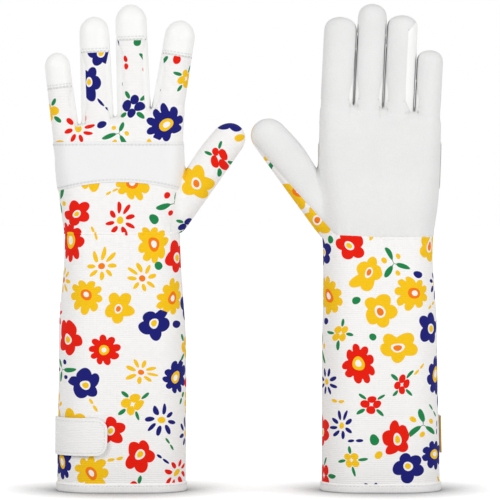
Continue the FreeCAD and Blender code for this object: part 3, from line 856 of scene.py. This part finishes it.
YELLOW, ORANGE = colour(0.94, 0.56, 0.008), colour(0.92, 0.20, 0.005)
BLUE, RED, GREEN = colour(0.009, 0.010, 0.175), colour(0.82, 0.010, 0.001), colour(0.010, 0.23, 0.065)
GROUND = colour(0.93, 0.92, 0.91)
MOTIF_PITCH = 0.0330  # from one large motif to the next, in metres
LOOSE = 0.34  # how far a motif strays from its place in the lattice
PRINT_TURN = math.radians(24)  # the lattice of motifs lies aslant
BUMP_DEPTH = 0.0004


def petals(shader, radius, angle, count, distance, long, wide):
    """A ring of ellipses: the angle is folded into one petal's share, and its ellipse is off the centre."""
    folded = shader.math("PINGPONG", angle, math.pi / count)
    x = shader.less(shader.times(radius, shader.math("COSINE", folded)), distance)
    y = shader.times(radius, shader.math("SINE", folded))
    x, y = shader.math("DIVIDE", x, long), shader.math("DIVIDE", y, wide)
    return shader.math("SQRT", shader.plus(shader.times(x, x), shader.times(y, y)))


def flower_group():
    """Scattered blossoms, daisies, leaf crosses and berries, one in each cell of a loose lattice.

    Each cell's chance numbers pick its motif, turn and colour. A motif is stamped in layers, each where
    a distance lies inside an edge. Distances are in shares of MOTIF_PITCH."""
    shader, entry, leave = new_group("flower_print", (), {"Color": "Color"})
    turned = shader.node("VectorRotate", Vector=entry[0], Angle=PRINT_TURN)
    place_in = shader.scaled(turned.outputs[0], 1 / MOTIF_PITCH)
    drift = shader.node("TexNoise", Vector=place_in, Scale=0.9, Detail=1.0)
    drift = shader.vector("SUBTRACT", drift.outputs["Color"], (0.5, 0.5, 0.5))
    place_in = shader.vector("ADD", place_in, shader.vector("MULTIPLY", drift, (0.5, 0.5, 0.0)))

    def cells(vector, scale, loose):
        settings = {"voronoi_dimensions": "2D"}
        made = shader.node("TexVoronoi", settings, Vector=vector, Scale=scale, Randomness=loose)
        return made.outputs["Distance"], made.outputs["Color"], made.outputs["Position"]

    def polar(centre, turn):
        offset = shader.vector("SUBTRACT", place_in, centre)
        x, y, _ = shader.split(offset)
        angle = shader.math("ARCTAN2", y, x)
        turned = shader.plus(shader.plus(angle, shader.times(turn, 6.283)), 12.566)  # kept above zero
        return shader.vector("LENGTH", offset), turned

    def tint_by(hue, first, *steps):
        for limit, tint in steps:
            first = shader.over(shader.math("GREATER_THAN", hue, limit), first, tint)
        return first

    def ring(*sizes, aside=0.0):
        around = shader.plus(angle, aside) if aside else angle
        return petals(shader, radius, around, *sizes)

    def stamp(chosen, *layers):
        nonlocal print_colour
        for distance, edge, soft, tint in layers:
            shape = shader.times(chosen, shader.inside(distance, edge, soft))
            print_colour = shader.over(shape, print_colour, tint)

    print_colour = GROUND
    crisp = 0.006  # a circle's soft rim
    _, chance, centre = cells(place_in, 1.0, LOOSE)
    kind, turn, hue = shader.split(chance)
    radius, angle = polar(centre, turn)
    petal = tint_by(hue, YELLOW, (0.50, BLUE), (0.76, RED))
    heart = tint_by(hue, ORANGE, (0.50, YELLOW))

    # broad five-petalled blossoms with a ringed heart
    broad = ring(5, 0.225, 0.2, 0.175)
    layers = (broad, 1.0, 0.06, petal), (radius, 0.13, crisp, GROUND), (radius, 0.085, crisp, heart)
    stamp(shader.between(kind, -1, 0.34), *layers)

    # marigolds: many short round petals, a full disc, a ring and a bright heart
    frill = ring(9, 0.335, 0.12, 0.108)
    layers = (frill, 1.0, 0.08, petal), (radius, 0.33, crisp, petal), (radius, 0.16, crisp, heart)
    stamp(shader.between(kind, 0.34, 0.52), *layers, (radius, 0.08, crisp, GROUND))

    # daisies: parted narrow petals round a small heart
    narrow = ring(8, 0.27, 0.125, 0.058)
    stamp(shader.between(kind, 0.52, 0.70), (narrow, 1.0, 0.1, petal), (radius, 0.09, crisp, heart))

    # leaf crosses with berries between
    leaves, stems = ring(3, 0.26, 0.19, 0.07), ring(3, 0.15, 0.18, 0.014)
    berries = ring(3, 0.25, 0.075, 0.075, aside=math.pi / 3)
    layers = (leaves, 1.0, 0.1, GREEN), (stems, 1.0, 0.2, GREEN), (berries, 1.0, 0.1, petal)
    stamp(shader.between(kind, 0.70, 0.86), *layers)

    # clusters of round berries with pointed green leaves
    berries, leaves = ring(4, 0.15, 0.115, 0.115), ring(4, 0.31, 0.12, 0.05, aside=math.pi / 4)
    stamp(shader.between(kind, 0.86, 2), (leaves, 1.0, 0.1, GREEN), (berries, 1.0, 0.08, petal))

    # small leaves and dots in the gaps between the large motifs
    _, chance, small = cells(place_in, 1.8, 0.35)
    room, _, _ = cells(small, 1.0, LOOSE)
    kind, turn, hue = shader.split(chance)
    radius, angle = polar(small, turn)
    free = shader.math("GREATER_THAN", room, 0.53)
    tint = tint_by(hue, GREEN, (0.45, BLUE), (0.75, RED), (0.88, YELLOW))
    stamp(shader.times(free, shader.between(kind, 0.55, 2)), (radius, 0.115, crisp, tint))
    pair = ring(2, 0.105, 0.095, 0.04)
    stamp(shader.times(free, shader.between(kind, -1, 0.55)), (pair, 1.0, 0.15, tint))

    shader.set(leave[0], print_colour)
    return shader.tree


def weave_group():
    """Ribs up the cloth and ends across it, as a height for a bump and a slight change of shade."""
    results = {"Height": "Float", "Shade": "Float"}
    shader, entry, leave = new_group("weave", ("Rib pitch", "End pitch"), results)
    slub = shader.node("TexNoise", Vector=entry[0], Scale=220.0, Detail=2.0)
    across, up, _ = shader.split(entry[0])
    wander = shader.times(slub.outputs["Fac"], 0.0009)

    def wave(value, pitch):
        turns = shader.math("DIVIDE", shader.plus(value, wander), pitch)
        return shader.math("SINE", shader.times(turns, 2 * math.pi))

    ribs, ends = wave(up, entry["Rib pitch"]), wave(across, entry["End pitch"])
    height = shader.plus(shader.plus(shader.times(ribs, 0.35), shader.times(ends, 0.15)), 0.5)
    shader.set(leave["Height"], height)
    patchy = shader.times(shader.less(slub.outputs["Fac"], 0.5), 0.06)
    shader.set(leave["Shade"], shader.plus(shader.plus(0.955, shader.times(height, 0.045)), patchy))
    return shader.tree


def grain_group():
    """Leather: small cells and pores, broad uneven patches, as a height and a shade."""
    results = {"Height": "Float", "Shade": "Float"}
    shader, entry, leave = new_group("grain", ("Cell size", "Unevenness"), results)
    scale = shader.math("DIVIDE", 1.0, entry["Cell size"])
    pebbles = shader.node("TexVoronoi", {"feature": "SMOOTH_F1"}, Vector=entry[0], Scale=scale)
    fibres = shader.node("TexNoise", Vector=entry[0], Scale=900.0, Detail=4.0, Roughness=0.7)
    patches = shader.node("TexNoise", Vector=entry[0], Scale=28.0, Detail=4.0)
    height = shader.plus(pebbles.outputs["Distance"], shader.times(fibres.outputs["Fac"], 0.6))
    shader.set(leave["Height"], height)
    broad = shader.less(patches.outputs["Fac"], 0.5)
    fine = shader.times(shader.less(fibres.outputs["Fac"], 0.5), 0.5)
    shader.set(leave["Shade"], shader.plus(1.0, shader.times(shader.plus(broad, fine), entry["Unevenness"])))
    return shader.tree


FLOWERS, WEAVE, GRAIN = flower_group(), weave_group(), grain_group()


def blank_material(name):
    material = bpy.data.materials.new(name)
    material.use_nodes = True
    return material, Shader(material.node_tree), material.node_tree.nodes["Principled BSDF"]


def finish_surface(shader, surface, base, shade, height, strength):
    """Base colour darkened by the shade, and a bump from the height."""
    shader.set(surface.inputs["Base Color"], shader.scaled(base, shade))
    bump = shader.node("Bump", Strength=strength, Distance=BUMP_DEPTH, Height=height)
    shader.set(surface.inputs["Normal"], bump.outputs[0])


def cloth_material(name, printed, rib=0.0016, end=0.0012, tint=GROUND, roughness=0.85):
    """Woven cloth on the panel's own print coordinates, with or without the flowers."""
    material, shader, surface = blank_material(name)
    place_in = shader.node("UVMap", {"uv_map": "print"}).outputs[0]
    weave = shader.group(WEAVE, Place=place_in, Rib_pitch=rib, End_pitch=end)
    base = shader.group(FLOWERS, Place=place_in).outputs[0] if printed else tint
    surface.inputs["Roughness"].default_value = roughness
    surface.inputs["Specular IOR Level"].default_value = 0.15
    surface.inputs["Sheen Weight"].default_value = 0.05
    finish_surface(shader, surface, base, weave.outputs["Shade"], weave.outputs["Height"], 0.5)
    return material


def leather_material(name, tint, cell, unevenness, roughness, strength):
    """Leather grain in object space, its gloss a little uneven, and painted shade: an occlusion node darkens
    its base colour in folds and seams.
    """
    material, shader, surface = blank_material(name)
    place_in = shader.node("TexCoord").outputs["Object"]
    grain = shader.group(GRAIN, Place=place_in, Cell_size=cell, Unevenness=unevenness)
    shader.set(surface.inputs["Roughness"], shader.times(grain.outputs["Shade"], roughness))
    surface.inputs["Specular IOR Level"].default_value = 0.35
    # painted shade: ambient occlusion darkens the leather's colour in creases, slits between fingers and seams
    painted_crease_shade = shader.node("AmbientOcclusion", {"samples": 8}, Distance=0.003)
    shade = shader.times(grain.outputs["Shade"], painted_crease_shade.outputs["AO"])
    finish_surface(shader, surface, tint, shade, grain.outputs["Height"], strength)
    return material


PRINTED_CANVAS = cloth_material("printed_canvas_look", True)
PRINTED_FABRIC = cloth_material("printed_fabric_look", True, 0.0013, 0.0011)
TAPE = cloth_material("tape_look", False, 0.0011, 0.0022, colour(0.96, 0.95, 0.945))
STRAP = cloth_material("strap_look", False, 0.0014, 0.0009, colour(0.91, 0.905, 0.90))
LOOP_TAPE = cloth_material("loop_tape_look", False, 0.0007, 0.0007, colour(0.85, 0.85, 0.84))
HOOK_TAPE = cloth_material("hook_tape_look", False, 0.0013, 0.0013, colour(0.82, 0.82, 0.81), 0.4)
STRAP_EDGE = cloth_material("strap_edge_look", False, 0.0009, 0.0009, colour(0.55, 0.33, 0.07))
THREAD = cloth_material("thread_look", False, 0.0005, 0.0004, colour(0.80, 0.80, 0.79), 0.6)
# all three leathers carry the painted crease shade of leather_material
WHITE_LEATHER = leather_material("white_leather_look", colour(0.90, 0.90, 0.89), 0.0011, 0.05, 0.42, 0.25)
PATCH_LEATHER = leather_material("patch_leather_look", colour(0.83, 0.83, 0.83), 0.0011, 0.05, 0.5, 0.25)
GREY_LEATHER = leather_material("grey_leather_look", colour(0.79, 0.79, 0.785), 0.0008, 0.13, 0.8, 0.55)

# ---------------------------------------------------------------- putting the pieces together

# which stretch of cloth is cut: each glove's hand, its thumb's two panels and its gauntlet
PRINT_SHIFTS = {"a": np.array([0.0, 0.0]), "b": np.array([650.0, 150.0])}
THUMB_PRINTS = (31.0, 77.0)
GAUNTLET_PRINTS = {"a": (0.0, 400.0), "b": (900.0, 1300.0)}  # on the back and the palm side


def body(glove, name):
    return f"glove_{glove.name}_{name}"


def at(glove, x, y, z):
    return tuple(float(v) for v in place(glove, np.array([x, y, z], float)))


def bend_wrist(glove, piece):
    """Bakes a panel beside the wrist seam into its mesh. The ends of the stretch round the wrist are worked
    out but not used.
    """
    start, end = (at(glove, 0, 0, WRIST + sign * WRIST_BEND) for sign in (-1, 1))
    body(glove, "gauntlet")
    body(glove, "hand")
    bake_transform(piece)


def bend_digit(glove, d, piece):
    """Bakes a digit's piece into its mesh. The ends of the stretch round its hinge are worked out but not
    used.
    """
    hinge, half = (THUMB_HINGE, THUMB_BEND) if d.name == "thumb" else (FINGER_HINGE, FINGER_BEND)
    ends = [from_digit(d, hinge + sign * half, 0.0) for sign in (-1, 1)]
    start, end = (at(glove, x, 0, z) for x, z in ends)
    body(glove, "hand")
    body(glove, d.name)
    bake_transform(piece)


def sew(glove, name, parts, material, slot, threads=(), node=None):
    """A piece of the look, which takes the place of the node of its name or of another one."""
    piece = make_piece(glove, name, parts, material, threads)
    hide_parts(f"glove_{glove.name}_{node or name}")
    return piece


def flat_uv(points):
    return points[..., [0, 2]]


def sewn_row(glove, points, proud):
    """Stitches along a row of surface points, laid on the face of a panel that stands proud by so much."""
    normals = surface_normals(glove, points)
    return stitches(points + normals * proud, normals)


def round_normals(glove, q, z, face=BACK):
    return round_gauntlet(glove, q, z, 1.0, face) - round_gauntlet(glove, q, z, 0.0, face)


def ring_section(half_width, half_height, squareness, count):
    """A closed section with soft corners: offsets outwards and heights, from a superellipse."""
    turn = np.linspace(0, 2 * math.pi, count, endpoint=False)
    x = half_width * np.sign(np.cos(turn)) * np.abs(np.cos(turn)) ** squareness
    z = half_height * np.sign(np.sin(turn)) * np.abs(np.sin(turn)) ** squareness
    return x[:, None], z[:, None]


def round_ring(glove, level, offset, height, count):
    """A ring round the gauntlet at a level: each point of its section keeps its offset and its height."""
    half = half_girth(glove, level)
    q = 2 * half * np.linspace(0, 1, count, endpoint=False)[None, :]
    on_back = round_gauntlet(glove, np.minimum(q, half), level + 0 * height, offset, BACK)
    on_front = round_gauntlet(glove, 2 * half - np.maximum(q, half), level + 0 * height, offset, FRONT)
    points = np.where((q < half)[..., None], on_back, on_front)
    points[..., 2] = height
    return points, np.stack(np.broadcast_arrays(q, height + offset), axis=-1)


def build_gauntlet(glove):
    nodes = ("gauntlet_back", "gauntlet_front")
    for node, face, apart in zip(nodes, (BACK, FRONT), GAUNTLET_PRINTS[glove.name]):
        points, uv = gauntlet_panel(glove, face)
        part = shell(points, CLOTH, uv + apart, None, "lrt", 0.8, 0.6, wavelength=75.0, wrist=glove.wrist)
        bend_wrist(glove, sew(glove, node, [part], PRINTED_CANVAS, "printed_canvas"))

    offset, height = ring_section(1.65, HEM / 2, 0.5, 28)
    points, uv = round_ring(glove, HEM / 2, offset - 0.8, HEM / 2 + height, 200)
    rows = []
    for face in (BACK, FRONT):
        q = half_girth(glove, HEM) * np.linspace(0.01, 0.99, 160)
        z = np.full_like(q, HEM - 1.9)
        line = round_gauntlet(glove, q, z, 0.86, face)
        rows.append(stitches(line, round_normals(glove, q, z, face), pitch=3.4))
    piece = sew(glove, "hem_binding", [ring(points, uv)], TAPE, "white_binding", rows)
    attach(piece, body(glove, "gauntlet"))


def rounded_tab(q_start, q_end, z_low, z_high, corner, rows=28, columns=44):
    """Places on a tab with two round corners at its end: rows from low to high, columns from start to end."""
    v = 0.5 - 0.5 * np.cos(math.pi * np.linspace(0, 1, rows))
    z = z_low + (z_high - z_low) * v
    from_edge = np.minimum(z - z_low, z_high - z)
    inset = corner - np.sqrt(np.maximum(corner**2 - np.maximum(corner - from_edge, 0) ** 2, 0))
    q = q_start + (q_end - inset - q_start)[:, None] * np.linspace(0, 1, columns)[None, :]
    return q, z[:, None] + 0 * q


def tab_outline(q_start, q_end, z_low, z_high, corner):
    """The tab's three free edges as a line of places: along the bottom, round the far corners and back."""
    turn = np.linspace(0, math.pi / 2, 9)
    low = [(q_end - corner + corner * math.sin(a), z_low + corner - corner * math.cos(a)) for a in turn]
    high = [(q, z_low + z_high - z) for q, z in reversed(low)]
    line = np.array([(q_start, z_low)] + low + high + [(q_start, z_high)])
    return even_path(line, np.linspace(0, 1, 240))


def tab_offset(q, full):
    """A layer's distance from the canvas: it lies down where the tab is sewn to the side seam."""
    return TAB_DOWN + (full - TAB_DOWN) * smooth(q, 1.0, 15.0)


def tab_sheet(glove, q, z, offset, thickness):
    """A sheet that follows the gauntlet's girth at an offset."""
    return shell(round_gauntlet(glove, q, z, offset), thickness, np.stack([q, z], axis=-1), uneven=0.0)


def build_strap(glove):
    """The tab, its folded edge and the tapes under it."""
    q, z = rounded_tab(0.4, TAB_END, TAB_LOW, TAB_HIGH, TAB_CORNER)
    part = tab_sheet(glove, q, z, tab_offset(q, TAB_UP), 1.4)
    inset = TAB_STITCHES
    line = tab_outline(4.0, TAB_END - inset, TAB_LOW + inset, TAB_HIGH - inset, TAB_CORNER - inset)
    raised = round_gauntlet(glove, line[:, 0], line[:, 1], tab_offset(line[:, 0], TAB_UP + 0.05))
    rows = [stitches(raised, round_normals(glove, line[:, 0], line[:, 1]))]
    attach(sew(glove, "strap", [part], STRAP, "strap_webbing", rows), body(glove, "tab"))
    q, z = rounded_tab(-1.7, 0.5, TAB_LOW + 0.2, TAB_HIGH - 0.2, 0.3, columns=8)
    edge = tab_sheet(glove, q, z, 1.9, 1.5)
    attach(sew(glove, "strap_edge", [edge], STRAP_EDGE, "strap_webbing", node="strap"), body(glove, "tab"))

    margin = 5.0
    q, z = rounded_tab(24.0, TAB_END - margin, TAB_LOW + margin, TAB_HIGH - margin, TAB_CORNER - margin)
    for node, material, slot, rider, offset, thickness in (
        ("hook_pad", HOOK_TAPE, "hook_tape", "tab", 2.2, 0.8),
        ("loop_pad", LOOP_TAPE, "loop_tape", "gauntlet", 1.2, 1.1),
    ):
        sheet = tab_sheet(glove, q, z, offset, thickness)
        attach(sew(glove, node, [sheet], material, slot), body(glove, rider))


def build_wrist(glove):
    """The gathered seam round the wrist: a low ridge over the edges of the panels above and below it."""
    offset, height = ring_section(0.8, 1.2, 1.0, 12)
    points, uv = round_ring(glove, glove.wrist, offset - 0.75, glove.wrist + height, 260)
    half = half_girth(glove, glove.wrist)
    on_front = uv[..., 0] >= half
    across = np.where(on_front, 1.5 * half - uv[..., 0], uv[..., 0] - half / 2)
    back, front = GAUNTLET_PRINTS[glove.name]
    level = np.full_like(across, glove.wrist - 1.2)
    uv = np.stack([across, level], axis=-1) + np.where(on_front, front, back)[..., None]
    bend_wrist(glove, sew(glove, "wrist_elastic", [ring(points, uv)], PRINTED_CANVAS, "wrist_gather"))


def build_hand(glove):
    shift = PRINT_SHIFTS[glove.name]

    def left(z):
        return side_edge(glove, z, -1)

    def level(height):
        return lambda x: height + 0 * x

    def back_band(low, high, **counts):
        return band(glove, BACK, low, high, left, right_edge(glove, SEAM_FOOT), **counts)

    def beside_wrist(points, thickness, uv, seams):
        return skin(glove, points, thickness, uv, seams, wrist=glove.wrist)

    # below the knuckles, on the back
    inner, outer, _ = thumb_bounds(glove, SEAM_FOOT)
    back = back_band(level(glove.wrist), lambda x: patch_low(x) + 3)
    thumb_back = ruled_panel(glove, BACK, outer, inner, 40, "both")
    palm_inner, palm_outer, print_edge = thumb_bounds(glove, palm_foot(glove))
    thumb_band = ruled_panel(glove, FRONT, palm_outer, print_edge, 12, "low")
    parts = [
        beside_wrist(back, CLOTH, hand_uv(glove, back) + shift, "lrb"),
        beside_wrist(thumb_back, CLOTH, flat_uv(thumb_back) + shift + THUMB_PRINTS[0], "b"),
        beside_wrist(thumb_band, CLOTH, flat_uv(thumb_band) + shift + THUMB_PRINTS[1], "r"),
    ]
    bend_wrist(glove, sew(glove, "hand_back", parts, PRINTED_FABRIC, "printed_fabric"))

    # the palm, up to the fingers
    join = PATCH_TOP - 12
    palm = band(glove, FRONT, level(glove.wrist), level(join), left, right_edge(glove, palm_foot(glove)))
    roots = root_band(glove, FRONT, level(join))
    thumb_front = ruled_panel(glove, FRONT, print_edge, palm_inner, 34, "high")
    panels = ((palm, "lb"), (roots, "lr"), (thumb_front, "l"))
    parts = [beside_wrist(points, LEATHER, flat_uv(points), seams) for points, seams in panels]
    bend_wrist(glove, sew(glove, "palm", parts, GREY_LEATHER, "grey_leather"))

    # over the knuckles
    upper = root_band(glove, BACK, level(PATCH_TOP - 3))
    part = skin(glove, upper, CLOTH, flat_uv(upper) + shift, "lr")
    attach(sew(glove, "finger_root_back", [part], PRINTED_FABRIC, "printed_fabric"), body(glove, "hand"))

    patch = back_band(patch_low, level(PATCH_TOP))
    part = skin(glove, patch, LEATHER, flat_uv(patch), "lrbt", proud=PATCH_RISE)
    rows = []
    for edge in (lambda x: patch_low(x) + PATCH_STITCHES, level(PATCH_TOP - PATCH_STITCHES)):
        rows.append(sewn_row(glove, back_band(edge, edge, rows=2, columns=160)[0, 4:-4], PATCH_RISE))
    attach(sew(glove, "knuckle_patch", [part], PATCH_LEATHER, "white_leather", rows), body(glove, "hand"))

    webs = [web_panel(glove, gap) for gap in gaps(glove)]
    parts = [skin(glove, web, LEATHER, flat_uv(web), "bt", 0.4, uneven=0.0) for web in webs]
    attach(sew(glove, "finger_webs", parts, WHITE_LEATHER, "white_leather"), body(glove, "hand"))


def build_finger(glove, d):
    shift = PRINT_SHIFTS[glove.name]
    sides = "".join(letter for letter, sign in (("l", -1), ("r", 1)) if sign in d.strips)
    cap_line = d.length - CAP
    printed = closed_up(np.linspace(FINGER_JOIN, cap_line + 1.0, 30), 0.15)
    capped, whole = tip_steps(d, cap_line, 14, 16), tip_steps(d, FINGER_JOIN, 40, 16)
    panels = (
        ("back", BACK, printed, PRINTED_FABRIC, "printed_fabric", CLOTH, sides, 0.0),
        ("cap", BACK, capped, WHITE_LEATHER, "white_leather", LEATHER, "lrb", 0.5),
        ("front", FRONT, whole, GREY_LEATHER, "grey_leather", LEATHER, sides, 0.0),
    )
    for kind, face, s, material, slot, thickness, seams, proud in panels:
        points, uv = finger_rows(glove, d, s, face, 25)
        uneven = 0.25 * (1 - smooth(s, FINGER_JOIN, 22.0))[:, None]
        part = skin(glove, points, thickness, uv + shift, seams, 0.4 + proud, uneven=uneven, proud=proud)
        rows = []
        if kind == "cap":
            lines = finger_rows(glove, d, cap_line + CAP_STITCHES, face, 80)[0][:, 8:-8]
            rows = [sewn_row(glove, line, proud) for line in lines]
        bend_digit(glove, d, sew(glove, f"{d.name}_{kind}", [part], material, slot, rows))
    strips = [strip_panel(glove, d, sign) for sign in d.strips]
    parts = [skin(glove, points, LEATHER, uv, "lr", 0.4, uneven=0.0) for points, uv in strips]
    bend_digit(glove, d, sew(glove, f"{d.name}_side", parts, WHITE_LEATHER, "white_leather"))


def build_thumb(glove):
    d, shift = glove.thumb, PRINT_SHIFTS[glove.name]
    inner, outer, edge = thumb_lines(glove)
    back = ruled_panel(glove, BACK, outer, inner, 40, "both")
    wrapped = ruled_panel(glove, FRONT, outer, edge, 12, "low")
    front = ruled_panel(glove, FRONT, edge, inner, 34, "high")
    parts = [
        skin(glove, back, CLOTH, flat_uv(back) + shift + THUMB_PRINTS[0]),
        skin(glove, wrapped, CLOTH, flat_uv(wrapped) + shift + THUMB_PRINTS[1], "r"),
    ]
    bend_digit(glove, d, sew(glove, "thumb_back", parts, PRINTED_FABRIC, "printed_fabric"))
    part = skin(glove, front, LEATHER, flat_uv(front), "l")
    bend_digit(glove, d, sew(glove, "thumb_front", [part], GREY_LEATHER, "grey_leather"))


def build_floor():
    """A white floor that glows white to the camera, with a painted shadow close under the gloves: ambient
    occlusion darkens its colour and its glow there.
    """
    material, shader, surface = blank_material("floor_look")
    surface.inputs["Roughness"].default_value = 0.9
    path = shader.node("LightPath").outputs
    seen = shader.math("MAXIMUM", path["Is Camera Ray"], path["Is Glossy Ray"])
    # painted shadow: ambient occlusion darkens the floor's colour and glow close under the gloves
    around = shader.node("AmbientOcclusion", {"samples": 16}, Distance=0.09)
    clear_of_painted_shadow = shader.math("POWER", around.outputs["AO"], 3.2)
    surface.inputs["Emission Color"].default_value = colour(1, 1, 1)
    shader.set(surface.inputs["Emission Strength"], shader.times(seen, shader.times(clear_of_painted_shadow, 0.6)))
    tint = shader.over(clear_of_painted_shadow, colour(0.2, 0.2, 0.2), colour(0.93, 0.93, 0.93))
    shader.set(surface.inputs["Base Color"], tint)
    mesh = bpy.data.meshes.new("floor")
    corners = [(6.0 * x, 6.0 * y, 0) for x, y in ((-1, -1), (1, -1), (1, 1), (-1, 1))]
    mesh.from_pydata(corners, [], [(0, 1, 2, 3)])
    floor = bpy.data.objects.new("floor", mesh)
    mesh.materials.append(material)
    bpy.context.scene.collection.objects.link(floor)


def build_lights():
    """A world that is white to the camera and pale to the gloves, and two soft lamps in front and above."""
    world = bpy.data.worlds.new("studio")
    world.use_nodes = True
    bpy.context.scene.world = world
    shader = Shader(world.node_tree)
    background = world.node_tree.nodes["Background"]
    background.inputs["Color"].default_value = colour(1, 1, 1)
    path = shader.node("LightPath").outputs
    seen = shader.math("MAXIMUM", path["Is Camera Ray"], path["Is Glossy Ray"])
    seen = shader.math("MAXIMUM", seen, path["Is Transmission Ray"])
    shader.set(background.inputs["Strength"], shader.plus(0.5, shader.times(seen, 0.5)))

    for name, spot, power in (("key", (-2.4, -2.8, 2.2), 52.0), ("fill", (2.6, -2.6, 1.4), 48.0)):
        light = bpy.data.lights.new(name, "AREA")
        light.size = 1.6
        light.energy = power
        lamp = bpy.data.objects.new(name, light)
        lamp.location = spot
        lamp.rotation_euler = look_along(np.array((0, 0, 0.2)) - np.array(spot))
        bpy.context.scene.collection.objects.link(lamp)


def look_along(direction):
    """Turns that point an object's -Z along a direction, with its +Y upwards."""
    x, y, z = direction / np.linalg.norm(direction)
    return (math.acos(-z), 0.0, math.atan2(y, x) - math.pi / 2)


def build_camera():
    """A long lens at the gloves' middle height, almost level."""
    data = bpy.data.cameras.new("camera")
    camera = bpy.data.objects.new("camera", data)
    middle_x, middle_z = 0.0052, 0.2028
    width = 0.4215  # of the view at the gloves
    distance = 4.0
    rise = math.radians(2.4)
    sensor = 36.0
    data.sensor_width = sensor
    data.lens = sensor * distance / width
    camera.location = (middle_x, -distance * math.cos(rise), middle_z + distance * math.sin(rise))
    camera.rotation_euler = (math.pi / 2 - rise, 0.0, 0.0)
    data.clip_end = 50
    bpy.context.scene.collection.objects.link(camera)
    bpy.context.scene.camera = camera


for glove in GLOVES:
    build_gauntlet(glove)
    build_strap(glove)
    build_wrist(glove)
    build_hand(glove)
    for finger in glove.fingers.values():
        build_finger(glove, finger)
    build_thumb(glove)
build_floor()
build_lights()
build_camera()
bpy.context.scene.view_settings.view_transform = "Standard"
